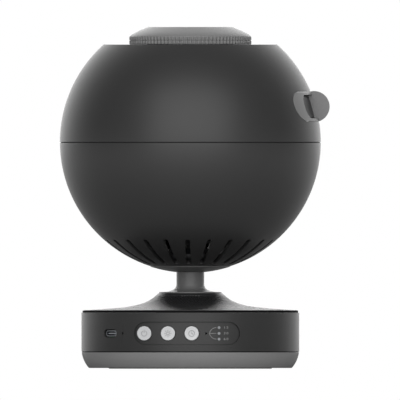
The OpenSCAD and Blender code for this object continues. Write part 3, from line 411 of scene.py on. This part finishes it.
# lens, light pipes and boards: clear glass, frosted grey dots, glossy green
lens_glass = clear_glass("coated optical glass", "#dfe9f5", 0.01, 1.52)
pipe_acrylic = moulded_plastic("frosted acrylic light pipe", "#7d7f82", 0.3, spark=0.04)
board_mask = circuit_board("green solder mask board", "#1d5a3a")

node_materials = {
    shell_abs: ["upper_shell", "cartridge_fascia"], lower_abs: ["lower_shell"], drum_abs: ["base_body"],
    trim_abs: ["slot_bezel", "cartridge_grip"], ring_abs: ["focus_ring"],
    neck_abs: ["neck_tube", "neck_flange", "neck_collar"], foot_ring_abs: ["lower_ring"],
    panel_abs: ["control_panel"], key_abs: ["left_button", "middle_button", "right_button"],
    black_abs: ["lamp_chassis", "cartridge_guide", "fan_frame", "fan_rotor", "lens_guide", "cartridge_tray",
                "disc_retainer", "disc_gear", "base_plate"],
    matt_black: ["lens_barrel", "lens_retainer"], acetal: ["disc_pinion", "bearing_bush"],
    pulp: ["speaker_cone"], natural_rubber: ["rubber_foot"], cable_pvc: ["axis_cable", "head_loom"],
    film: ["star_disc"], phosphor: ["led_emitter"], white_mask: ["led_board"],
    blackened_steel: ["neck_nut"],
    steel: ["swivel_nut", "chassis_screws", "optics_screws", "fan_screws", "ring_clip", "base_screws",
            "board_screws", "disc_motor", "ballast_plate", "tact_switches", "microphone"],
    nickel: ["usb_socket"], sink_alu: ["heat_sink"], brass: ["swivel_washer"], mesh_steel: ["speaker_mesh"],
    painted_steel: ["speaker_frame"], lens_glass: ["front_lens", "rear_lens", "condenser_lens"],
    pipe_acrylic: ["indicator_pipes"], board_mask: ["main_board", "switch_board", "driver_board", "usb_board"]}
for finish, names in node_materials.items():
    for name in names:
        frame["nodes"][name].data.materials.clear()
        frame["nodes"][name].data.materials.append(finish)


# ---------------------------------------------------------------- ball
def on_sphere(radius, az, el):
    """x = R cos(el) sin(az), y = -R cos(el) cos(az), z = centre + R sin(el)."""
    flat = radius * np.cos(el)
    return np.stack([flat * np.sin(az), -flat * np.cos(az), BALL_Z + radius * np.sin(el)], -1)


FLAT_EL = math.acos(FLAT_R / BALL_R)


def upper_outside(az, row):
    """The ball up to the flat's edge; past it the row goes inwards over the flat top."""
    r = np.where(row <= FLAT_EL, BALL_R * np.cos(row), FLAT_R - (row - FLAT_EL) * BALL_R)
    z = np.where(row <= FLAT_EL, BALL_Z + BALL_R * np.sin(row), FLAT_Z)
    return np.stack([r * np.sin(az), -r * np.cos(az), z], -1)


def upper_inside(az, row):
    """The same, one wall thickness in, and never above the underside of the flat top."""
    p = upper_outside(az, row)
    ball = on_sphere(BALL_R - WALL, az, np.minimum(row, FLAT_EL))
    ball[..., 2] = np.minimum(ball[..., 2], FLAT_Z - WALL)
    p[..., 2] -= WALL
    return np.where((row <= FLAT_EL)[..., None], ball, p)


def upper_shell():
    """The ball's upper half with its flat top and the window for the bezel at the right, notched for the grip.
    A point (y, z) of the window's outline lies at azimuth atan2(x, -y) and elevation asin(z / R), where
    x = sqrt(R^2 - y^2 - z^2)."""
    az = np.radians(np.arange(-180, 180, 1.0))
    sphere_rows = np.linspace(0, FLAT_EL, 41)
    inward = FLAT_EL + (FLAT_R - np.linspace(FLAT_R, FLAT_BORE, 18)[1:]) / BALL_R
    rows = np.concatenate([sphere_rows, inward])
    middle_el = math.asin((SLOT_Z - BALL_Z) / BALL_R)
    right, spread, below, above = 270, 38, 0.165, 0.19
    block = (right - spread, right + spread, int(np.argmin(abs(sphere_rows - (middle_el - below)))),
             int(np.argmin(abs(sphere_rows - (middle_el + above)))))
    grip_notch = (GRIP_HALF + 0.6, 9.19, -9.44)
    window = opening_outline(block, BEZEL_HALF_Y, BEZEL_HALF_Z, BEZEL_ROUND, 0, grip_notch)
    y, z = window[:, 0], window[:, 1] + SLOT_Z - BALL_Z
    lines = [np.stack([np.arctan2(np.sqrt(r * r - y * y - z * z), -y), np.arcsin(z / r)], -1)
             for r in (BALL_R, BALL_R - WALL)]
    rebate = [(BALL_R - WALL + 1.15, BALL_Z), (BALL_R - WALL + 1.15, BALL_Z + 3.1)]
    obj = pierced_wall("ball_upper_half", az, rows, upper_outside, upper_inside, [(block, lines)],
                       shell_abs, below=rebate, steps=5)
    eased(obj, 0.3)
    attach(obj, "head")
    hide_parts("upper_shell")


def lower_shell():
    """The ball's lower half with its cooling slots: each is a rounded slit along a meridian, first degrees off
    the front and then every 15 degrees. A point (u, v) of its outline lies at the angle d = 31 degrees + v / R from
    the lowest point of the ball, and asin(u / (R sin d)) off the meridian."""
    per_slot, count, first, apart = 10, 24, -1.9, 15
    half_wide = 1.45
    az = np.radians(first - apart / 2 + np.arange(per_slot * count) * apart / per_slot)
    from_nadir = np.concatenate([[17.88], np.linspace(19.0, 43.2, 18), np.linspace(43.2, 89.66, 30)[1:]])
    rows = np.radians(from_nadir - 90)
    half_long, middle_angle = BALL_R * math.radians(21) / 2, 31.0
    openings = []
    for n in range(count):
        block = (n * per_slot, (n + 1) * per_slot, 1, 18)
        line = opening_outline(block, half_wide, half_long, half_wide, 90)
        down = np.radians(middle_angle) + line[:, 1] / BALL_R
        lines = [np.stack([math.radians(first + apart * n) + np.arcsin(line[:, 0] / (r * np.sin(down))),
                           down - math.pi / 2], -1) for r in (BALL_R, BALL_R - WALL)]
        openings.append((block, lines))
    groove, tongue = BALL_R - 0.5, BALL_R - WALL + 1.1
    lip = [(groove, BALL_Z - 0.45), (groove, BALL_Z - 0.02), (tongue, BALL_Z - 0.02), (tongue, BALL_Z + 3),
           (tongue - 1.6, BALL_Z + 3)]
    obj = pierced_wall("ball_lower_half", az, rows, lambda a, e: on_sphere(BALL_R, a, e),
                       lambda a, e: on_sphere(BALL_R - WALL, a, e), openings, lower_abs, above=lip)
    eased(obj, 0.28)
    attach(obj, "head")
    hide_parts("lower_shell")


# ---------------------------------------------------------------- focus ring and lens
def corners(*points, default=0.12):
    """A closed (radius, height) outline from corners (r, z) or (r, z, fillet radius)."""
    return filleted([p[:2] for p in points], [p[2] if len(p) > 2 else default for p in points])


def bend(start, pull, end, n):
    """A quadratic curve: start (1-t)^2 + 2 pull t (1-t) + end t^2."""
    t = np.linspace(0, 1, n)[:, None]
    return np.asarray(start) * (1 - t) ** 2 + 2 * np.asarray(pull) * t * (1 - t) + np.asarray(end) * t ** 2


def focus_ring():
    """Knurled band under a dome that bends from the band to the flat rim; a plain sleeve goes down inside."""
    ribs, depth = 96, 0.6
    band_top, line_z, stop_z = RING_Z + 0.4 * RING_HIGH, RING_Z + 2.15, RING_TOP - 4
    dome = bend((RING_R, band_top), (RING_R - 0.5, band_top + 1.9), (RIM_R, RING_TOP), 16)
    points = [(SLEEVE_OUT, SLEEVE_LOW), (SLEEVE_OUT, RING_Z + 2.9), (RING_R - 2, RING_Z + 2.9),
              (RING_R - 2, RING_Z, 0.2), (RING_R, RING_Z, 0.3), (RING_R, line_z - 0.2, 0.1),
              (RING_R - 0.5, line_z - 0.1, 0), (RING_R - 0.5, line_z + 0.1, 0), (RING_R, line_z + 0.2, 0.1)]
    points += [(r, z, 0) for r, z in dome[:-1]]
    points += [(RIM_R, RING_TOP, 0.5), (RIM_R - 2.4, RING_TOP, 0.3), (FRONT_R + 1, RING_TOP - 3.6, 0.12),
               (FRONT_R + 1, stop_z), (BARREL_R + 0.06, stop_z), (BARREL_R + 0.06, SLEEVE_LOW)]

    def knurl(t, r, z):
        """Takes depth mm off the radius where cos(ribs t) is high, and fades out above the band."""
        groove = np.clip((np.cos(ribs * t) + 0.5) * 1.8, 0, 1)
        fade = np.clip((band_top + 0.35 - z) / 0.5, 0, 1) * (r > RING_R - 1) * (z > RING_Z - 0.1)
        return r - depth * groove * fade, z
    obj = turned("focus_ring_knurled", corners(*points), ring_abs, ribs * 8, knurl)
    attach(obj, "focus")
    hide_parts("focus_ring")
    slip = corners((RING_R - 4, FLAT_Z + 0.02, 0.05), (RING_R - 0.2, FLAT_Z + 0.02, 0.05),
                   (RING_R - 0.2, RING_Z + 0.02, 0.05), (RING_R - 4, RING_Z + 0.02, 0.05))
    obj = turned("slip_washer", slip, black_abs, 192)
    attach(obj, "focus")


# ---------------------------------------------------------------- neck
def neck():
    """Sleeve: over its lowest 2.3 mm the radius grows by 0.7 times the square of the way down. The flange under
    the ball follows a sphere 0.25 mm proud of it. The foot is a quadratic curve down to the round collar."""
    low, waist = SWIVEL_Z + 0.08, SWIVEL_Z + 2.4
    skirt = [(NECK_R + 0.7 * ((waist - z) / (waist - low)) ** 2, z, 0) for z in np.linspace(low + 0.2, waist, 9)]
    tube = corners((CABLE_R, SHAFT_LOW), (SHAFT_R, SHAFT_LOW, 0.3), (SHAFT_R, low), (NECK_R + 0.7, low, 0.12), *skirt,
                   (NECK_R, NECK_TOP, 0.3), (CABLE_R, NECK_TOP, 0.3))
    obj = turned("neck_sleeve", tube, neck_abs, 96)
    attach(obj, "head")
    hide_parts("neck_tube")

    bore, flange_high, clamp_r = NECK_R + 0.05, 61.6, 29
    under = np.linspace(FLANGE_R, bore + 0.3, 12)
    cup = [(r, BALL_Z - math.sqrt((BALL_R + 0.25) ** 2 - r * r), 0.2 if i in (0, 11) else 0)
           for i, r in enumerate(under)]
    flange = corners(*cup, (bore, cup[-1][1] + 0.35), (bore, flange_high, 0.2), (FLANGE_R, flange_high, 0.2))
    seat = [(r, BALL_Z - math.sqrt((BALL_R - WALL - 0.05) ** 2 - r * r), 0)
            for r in np.linspace(FLANGE_R, clamp_r, 6)]
    clamp = corners((bore, flange_high + 0.05, 0.1), (FLANGE_R - 0.1, flange_high + 0.05, 0.1), *seat,
                    (clamp_r, 66.04, 0.3), (bore, 66.04, 0.3))
    for name, outline, finish in (("neck_flange_disc", flange, neck_abs),
                                  ("neck_flange_clamp", clamp, black_abs)):
        obj = turned(name, outline, finish, 128)
        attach(obj, "head")
        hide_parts("neck_flange")

    foot_r, foot_top, lip = NECK_R + 1.0, SWIVEL_Z - 0.15, 0.5
    hollow = bend((foot_r, foot_top), (foot_r + 1.2, COLLAR_Z + 0.5), (foot_r + 5.8, COLLAR_Z), 12)
    bush_r, boss_r, boss_low = 7.45, 12, 32.5
    collar = corners((bush_r, boss_low), (boss_r, boss_low), (boss_r, COLLAR_Z - 0.8),
                     (COLLAR_R, COLLAR_Z - 0.8, 0.25), (COLLAR_R, COLLAR_Z, 0.35),
                     *[(r, z, 0) for r, z in hollow[:0:-1]], (foot_r, foot_top, 0.12),
                     (foot_r - lip, foot_top, 0.02), (foot_r - lip, SWIVEL_Z + 0.05, 0.02),
                     (bush_r, SWIVEL_Z + 0.05, 0.05))
    obj = turned("neck_foot_collar", collar, neck_abs, 128)
    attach(obj, "base")
    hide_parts("neck_collar")


# ---------------------------------------------------------------- speaker grille
def flare(r):
    """Height of the grille: with u from 0 at the collar to 1 at the rim, a quarter of the drop is straight in
    u and the rest falls off as exp(-u / 0.165)."""
    u = (np.asarray(r) - GRILLE_IN) / (GRILLE_OUT - GRILLE_IN)
    end = math.exp(-1 / 0.165)
    return GRILLE_LOW + (GRILLE_HIGH - GRILLE_LOW) * (
        0.25 * (1 - u) + 0.75 * (np.exp(-u / 0.165) - end) / (1 - end))


def speaker_grille():
    """Perforated sheet pressed into the flare: hexagonal cells on a flat staggered grid, each with a six-sided
    hole 1.1 mm across its corners, lifted to the height of the flare. Black cloth lies behind the holes, and a
    folded rim closes both edges."""
    pitch, hole = 1.6, 0.55
    n = int(GRILLE_OUT / pitch) + 2
    col, row = np.meshgrid(np.arange(-n, n + 1), np.arange(-int(n * 1.2), int(n * 1.2) + 1))
    centre = np.stack([(col + 0.5 * (row % 2)) * pitch, row * pitch * math.sqrt(3) / 2], -1).reshape(-1, 2)
    far = np.hypot(*centre.T)
    centre = centre[(far > GRILLE_IN + 0.6) & (far < GRILLE_OUT - 0.9)]
    t = np.radians(np.arange(6) * 60 + 30)
    corner = np.stack([np.cos(t), np.sin(t)], -1)
    k = np.arange(6)
    cell = np.stack([k, (k + 1) % 6, (k + 1) % 6 + 6, k + 6], -1)
    for side, half in (("front", centre[centre[:, 1] < 0]), ("back", centre[centre[:, 1] >= 0])):
        flat = np.concatenate([half[:, None] + corner * pitch / math.sqrt(3), half[:, None] + corner * hole], 1)
        points = np.concatenate([flat, flare(np.hypot(flat[..., 0], flat[..., 1]))[..., None]], -1)
        faces = (np.arange(len(half))[:, None, None] * 12 + cell).reshape(-1, 4)
        obj = mesh_object("speaker_grille_" + side, points.reshape(-1, 3), faces, mesh_steel, False)
        merged(obj, 2e-5)
        wall = obj.modifiers.new("sheet thickness", "SOLIDIFY")
        wall.thickness, wall.offset = 0.5 * MM, -1
        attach(obj, "base")
        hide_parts("speaker_mesh")
    r = np.linspace(GRILLE_IN + 0.3, GRILLE_OUT - 0.6, 60)
    cloth = [(a, float(flare(a)) - 1.0, 0) for a in r[::-1]] + [(a, float(flare(a)) - 1.15, 0) for a in r]
    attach(turned("acoustic_cloth", np.array([p[:2] for p in cloth]), cloth_black, 160), "base")
    for name, r0, r1 in (("grille_outer_rim", GRILLE_OUT - 1.7, GRILLE_OUT),
                         ("grille_inner_rim", GRILLE_IN - 0.6, GRILLE_IN + 1.2)):
        r = np.linspace(r0, r1, 6)
        top = [(a, float(flare(max(a, GRILLE_IN))) + 0.08, 0.05) for a in r]
        low = [(a, float(flare(max(a, GRILLE_IN))) - 0.62, 0.05) for a in r[::-1]]
        obj = turned(name, corners(*top, *low), mesh_steel, 192)
        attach(obj, "base")


# ---------------------------------------------------------------- base
def lower_ring():
    """Outer side: over the height f from 0 to 1 the radius goes 0.45 f + 0.55 (1 - (1 - f)^2.6) of the way from
    the foot to the drum, nearly upright at the top and curling under at the table. Black gaskets close the joint
    above it and the one between the grille and the drum; their black is painted shade for those grooves."""
    top, low = 9.35, 0.4
    foot_in, inner, tongue, tongue_top, skirt_low = 54, 57.5, 59.95, 11.9, 1.6
    f = np.linspace(1, 0, 18)
    side = [(BASE_R - 4.3 + 4.2 * (0.45 * v + 0.55 * (1 - (1 - v) ** 2.6)), low + v * (top - low), 0)
            for v in f[1:-1]]
    points = [(BASE_R - 0.1, top, 0.25), *side, (BASE_R - 4.4, low, 0.7), (foot_in, low, 0.4), (foot_in, skirt_low),
              (inner, skirt_low), (inner, tongue_top), (tongue, tongue_top), (tongue, top)]
    obj = turned("lower_ring_moulded", corners(*points), foot_ring_abs, 240)
    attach(obj, "base")
    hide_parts("lower_ring")
    # painted shade: the two black rings fill the seams above and below the drum so that those grooves read dark
    for name, r0, r1, z0, z1 in (("drum_seam_shade_gasket", BASE_R - 2.6, BASE_R - 0.35, top + 0.01, 9.89),
                                 ("grille_shade_gasket", GRILLE_OUT + 0.02, BASE_R - 0.65, DRUM_TOP + 0.01, 33.45)):
        obj = turned(name, corners((r0, z0), (r1, z0), (r1, z1), (r0, z1)), gasket_painted_shade, 240)
        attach(obj, "base")


def foot_pad():
    """Rubber disc with three shallow grooves underneath."""
    pad_r, pad_high = 46.95, 2.4
    points = [(pad_r, 0, 0.6), (pad_r, pad_high, 0.2), (0.01, pad_high, 0), (0.01, 0.02, 0)]
    for r in (12, 26, 40):
        points += [(r - 1.2, 0.02, 0.2), (r - 0.9, 0.5, 0.2), (r + 0.9, 0.5, 0.2), (r + 1.2, 0.02, 0.2)]
    obj = turned("foot_pad_grooved", corners(*points), natural_rubber, 160)
    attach(obj, "base")
    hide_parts("rubber_foot")


# ---------------------------------------------------------------- controls
def key_cap(node, x):
    """A round key whose face follows a cylinder about the base's axis, with a shallow dish and an eased edge:
    a profile of (distance from the key's axis, depth behind the face) carried round the key's axis."""
    r, face, stem_r, stem_y = KEY_R, PANEL_FACE + KEY_PROUD, 1.9, -47.1
    dish = [(r * t, 0.22 * (1 - t * t)) for t in np.linspace(0.02, 0.8, 6)]
    edge = [(r - 0.4 + 0.4 * math.sin(t), 0.4 - 0.4 * math.cos(t)) for t in np.radians(np.linspace(0, 90, 7))]
    front = np.array(dish + edge + [(r, 3.2)])
    back_y = -math.sqrt((PANEL_FACE - 3.2) ** 2 - (abs(x) + r + 0.9) ** 2)
    rear = np.array([(r, back_y + 0.4), (r + 0.9, back_y + 0.45), (r + 0.9, back_y + 1.55),
                     (stem_r, back_y + 1.6), (stem_r, stem_y), (0.05, stem_y)])
    t = np.arange(64) / 64 * TAU
    rho = np.concatenate([front[:, 0], rear[:, 0]])
    px = x + rho[None] * np.cos(t)[:, None]
    pz = CONTROLS_Z + rho[None] * np.sin(t)[:, None]
    y = np.concatenate([-np.sqrt(face ** 2 - px[:, :len(front)] ** 2) + front[:, 1],
                        np.repeat(rear[None, :, 1], 64, 0)], 1)
    points = np.stack([px, y, pz], -1)
    faces = grid_faces(64, len(rho), True).tolist()
    faces += [list(range(0, 64 * len(rho), len(rho))), list(range(len(rho) - 1, 64 * len(rho), len(rho)))]
    obj = merged(mesh_object(node + "_cap", points.reshape(-1, 3), faces, key_abs))
    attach(obj, node.replace("button", "key"))
    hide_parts(node)


def control_panel():
    """A copy of the panel whose shading normals come from its own formula: n = (x, y, 0) / sqrt(x^2 + y^2) on the
    curved face, the flat face's own normal elsewhere."""
    obj = node_copy("control_panel", "control_panel_smooth")
    me = obj.data
    co, flat = np.zeros(3 * len(me.vertices)), np.zeros(3 * len(me.polygons))
    loops, totals = np.zeros(len(me.loops), int), np.zeros(len(me.polygons), int)
    me.vertices.foreach_get("co", co)
    me.loops.foreach_get("vertex_index", loops)
    me.polygons.foreach_get("loop_total", totals)
    me.polygons.foreach_get("normal", flat)
    face = np.repeat(np.arange(len(totals)), totals)
    at = co.reshape(-1, 3)[loops]
    radial = at * [1, 1, 0] / np.linalg.norm(at[:, :2], axis=1)[:, None]
    own = flat.reshape(-1, 3)[face]
    curved = (np.linalg.norm(at[:, :2], axis=1) > (PANEL_FACE - 0.05) * MM) & ((own * radial).sum(1) > 0.9)
    me.normals_split_custom_set(np.where(curved[:, None], radial, own).tolist())
    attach(obj, "base")
    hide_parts("control_panel")


def ink_film(obj):
    """Gives flat ink a thickness of 0.02 mm."""
    film_layer = obj.modifiers.new("ink film", "SOLIDIFY")
    film_layer.thickness, film_layer.offset = 0.02 * MM, 0
    return obj


def printed(name, lines, width, radius, ink, body):
    """Ink lines in the (x, z) plane laid on a cylinder about the base's axis: each line becomes a ribbon width mm
    wide, with its points pushed out to y = -sqrt(radius^2 - x^2)."""
    verts, faces = [], []
    for line in lines:
        p = np.asarray(line, float)
        d = np.gradient(p, axis=0)
        d /= np.linalg.norm(d, axis=1)[:, None]
        across = np.stack([-d[:, 1], d[:, 0]], -1) * width / 2
        start = len(verts)
        verts += [q for pair in zip(p + across, p - across) for q in pair]
        faces += [[start + 2 * k, start + 2 * k + 1, start + 2 * k + 3, start + 2 * k + 2]
                  for k in range(len(p) - 1)]
    v = np.array(verts)
    points = np.stack([v[:, 0], -np.sqrt(radius ** 2 - v[:, 0] ** 2), v[:, 1]], -1)
    obj = ink_film(mesh_object(name, points, faces, ink))
    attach(obj, body)


def circle_line(cx, cz, r, start=0, end=360, n=28):
    """n points on a circle about (cx, cz), from start to end degrees."""
    t = np.radians(np.linspace(start, end, n))
    return np.stack([cx + r * np.cos(t), cz + r * np.sin(t)], -1)


def controls():
    """The panel, its keys with a power, a sun and a clock mark, and the timer's print: a bracket from the
    microphone hole to three dots and the minutes beside them."""
    control_panel()
    keys = [KEY_MIDDLE - KEY_PITCH, KEY_MIDDLE, KEY_MIDDLE + KEY_PITCH]
    for node, x in zip(("left_button", "middle_button", "right_button"), keys):
        key_cap(node, x)
    z = CONTROLS_Z
    x = keys[0]
    power = [circle_line(x, z, 1.55, 115, 425), np.linspace((x, z + 0.5), (x, z + 2.1), 4)]
    x = keys[1]
    sun = [circle_line(x, z, 0.85)]
    sun += [np.array([(x + a * math.cos(t), z + a * math.sin(t)) for a in (1.35, 1.65, 2.0)])
            for t in np.radians(np.arange(8) * 45)]
    x = keys[2]
    clock = [circle_line(x, z, 1.7), np.array([(x, z + 1.1), (x, z + 0.4), (x + 0.02, z - 0.05)]),
             np.array([(x, z), (x + 0.5, z - 0.3), (x + 0.9, z - 0.5)])]
    face = PANEL_FACE + KEY_PROUD - 0.06
    for name, lines, body in (("power_mark", power, "left_key"), ("light_mark", sun, "middle_key"),
                              ("clock_mark", clock, "right_key")):
        printed(name, lines, 0.34, face, icon_ink, body)
    dot_x, mic_x, dot_pitch, ink_r = PANEL_SHIFT + 18.4, PANEL_SHIFT + 10.9, 3.3, PANEL_FACE + 0.02
    start = (mic_x + 1.9, z)
    fan = [bend(start, (start[0] + 1.2, z + dot_pitch * s), (dot_x - 1.5, z + dot_pitch * s), 12) for s in (-1, 1)]
    fan.append(np.linspace(start, (dot_x - 1.5, z), 5))
    printed("timer_bracket", fan, 0.3, ink_r, print_ink, "base")
    for n, number in enumerate(("60", "30", "15")):
        text = bpy.data.curves.new("number", "FONT")
        text.body, text.size, text.align_y, text.resolution_u = number, 1.9, "CENTER", 3
        text.space_character = 1.35
        holder = bpy.data.objects.new("number", text)
        bpy.context.scene.collection.objects.link(holder)
        bpy.context.view_layer.update()
        flat = bpy.data.meshes.new_from_object(holder.evaluated_get(bpy.context.evaluated_depsgraph_get()))
        bpy.data.objects.remove(holder)
        co = np.zeros(len(flat.vertices) * 3)
        flat.vertices.foreach_get("co", co)
        co = co.reshape(-1, 3)
        px, pz = co[:, 0] * 1.25 + dot_x + 2.6, co[:, 1] + z + dot_pitch * (n - 1)
        points = np.stack([px, -np.sqrt(ink_r ** 2 - px * px), pz], -1)
        faces = [list(p.vertices) for p in flat.polygons]
        obj = ink_film(mesh_object("timer_number_" + number, points, faces, print_ink, False))
        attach(obj, "base")


focus_ring()
neck()
speaker_grille()
lower_ring()
foot_pad()
controls()
upper_shell()
lower_shell()
for node, width in (("slot_bezel", 0.35), ("cartridge_fascia", 0.2), ("cartridge_grip", 0.9), ("base_body", 0.35),
                    ("lens_barrel", 0.2), ("lens_retainer", 0.2)):
    softened(node, width, DRUM_TOP if node == "base_body" else None)


# ---------------------------------------------------------------- stage
def soft_box(name, place, aim, side, power):
    """A square area lamp, side metres wide, at place and turned towards aim."""
    data = bpy.data.lights.new(name, "AREA")
    data.shape, data.size, data.size_y, data.energy = "RECTANGLE", side, side, power
    obj = bpy.data.objects.new(name, data)
    bpy.context.scene.collection.objects.link(obj)
    obj.location = place
    obj.rotation_euler = (Vector(aim) - Vector(place)).to_track_quat("-Z", "Y").to_euler()


def paper_floor():
    """White paper under the product: it is lit and takes the shadow, and shines for the camera and, farther than
    150 mm from the product, for reflections."""
    m = material("matt white paper sweep")
    paths = add(m, "ShaderNodeLightPath")
    where = add(m, "ShaderNodeTexCoord")
    reach = add(m, "ShaderNodeVectorMath", {0: (where, "Object")}, operation="LENGTH")
    lit = add(m, "ShaderNodeMapRange", {"Value": (reach, "Value"), "From Min": 0.15, "From Max": 1.0, "To Min": 0.0,
                                        "To Max": 0.9})
    gloss_part = add(m, "ShaderNodeMath", {0: (lit, 0), 1: (paths, "Is Glossy Ray")}, operation="MULTIPLY")
    seen_part = add(m, "ShaderNodeMath", {0: (paths, "Is Camera Ray"), 1: 0.7}, operation="MULTIPLY")
    lift = add(m, "ShaderNodeMath", {0: (gloss_part, 0), 1: (seen_part, 0)}, operation="ADD")
    fibre = add(m, "ShaderNodeTexNoise", {"Vector": (where, "Object"), "Scale": 900.0, "Detail": 3.0})
    tint = add(m, "ShaderNodeMapRange", {"Value": (fibre, 0), "To Min": 0.97, "To Max": 1.0})
    shade = add(m, "ShaderNodeHueSaturation", {"Color": linear("#c8c8c8"), "Value": (tint, 0)})
    shaded(m, {"Base Color": (shade, 0), "Emission Strength": (lift, 0), "Emission Color": (1, 1, 1, 1),
               "Roughness": 0.9, "Specular IOR Level": 0.0})
    half, z = 3000, -0.05
    floor = mesh_object("floor", [[-half, -half, z], [half, -half, z], [half, half, z], [-half, half, z]],
                        [[0, 1, 2, 3]], m, False)


def studio_walls():
    """White walls behind and beside the product: for reflections the sky grows lighter from the front to the
    back as 0.15 + 2.8 y^2; it is white for the camera and through glass, and dim for the rest."""
    world = bpy.data.worlds.new("white studio")
    bpy.context.scene.world = world
    world.use_nodes = True
    world.node_tree.nodes.clear()
    rays = add(world, "ShaderNodeLightPath")
    clear = add(world, "ShaderNodeMath", {0: (rays, "Is Camera Ray"), 1: (rays, "Is Transmission Ray")},
                operation="MAXIMUM")
    facing = add(world, "ShaderNodeSeparateXYZ", {0: (add(world, "ShaderNodeTexCoord"), "Generated")})
    back = add(world, "ShaderNodeMath", {0: (facing, "Y"), 1: 0.0}, operation="MAXIMUM")
    curve = add(world, "ShaderNodeMath", {0: (back, 0), 1: 2.0}, operation="POWER")
    walls = add(world, "ShaderNodeMath", {0: (curve, 0), 1: 2.8, 2: 0.15}, operation="MULTIPLY_ADD")
    mirrored = add(world, "ShaderNodeMath", {0: (walls, 0), 1: (rays, "Is Glossy Ray")}, operation="MULTIPLY")
    lit_up = add(world, "ShaderNodeMath", {0: (clear, 0), 1: (mirrored, 0)}, operation="MAXIMUM")
    ambient = add(world, "ShaderNodeMath", {0: (rays, "Is Diffuse Ray"), 1: 0.32}, operation="MULTIPLY")
    level = add(world, "ShaderNodeMath", {0: (lit_up, 0), 1: (ambient, 0)}, operation="MAXIMUM")
    sky = add(world, "ShaderNodeBackground", {"Color": (1, 1, 1, 1), "Strength": (level, 0)})
    add(world, "ShaderNodeOutputWorld", {"Surface": (sky, 0)})


def level_camera():
    """A parallel view from the front at the photograph's scale."""
    data = bpy.data.cameras.new("level camera")
    data.type = "ORTHO"
    data.ortho_scale = 400 * MM_PER_PIXEL * MM
    camera = bpy.data.objects.new("level camera", data)
    bpy.context.scene.collection.objects.link(camera)
    camera.location = ((200 - AXIS_PIXEL) * MM_PER_PIXEL * MM, -1.0, (TABLE_PIXEL - 200) * MM_PER_PIXEL * MM)
    camera.rotation_euler = (math.pi / 2, 0, 0)
    bpy.context.scene.camera = camera


soft_box("front soft box", (0, -1.5, 0.6), (0, 0, BALL_Z * MM), 2.2, 41)
paper_floor()
studio_walls()
level_camera()
bpy.context.scene.view_settings.view_transform = "Standard"
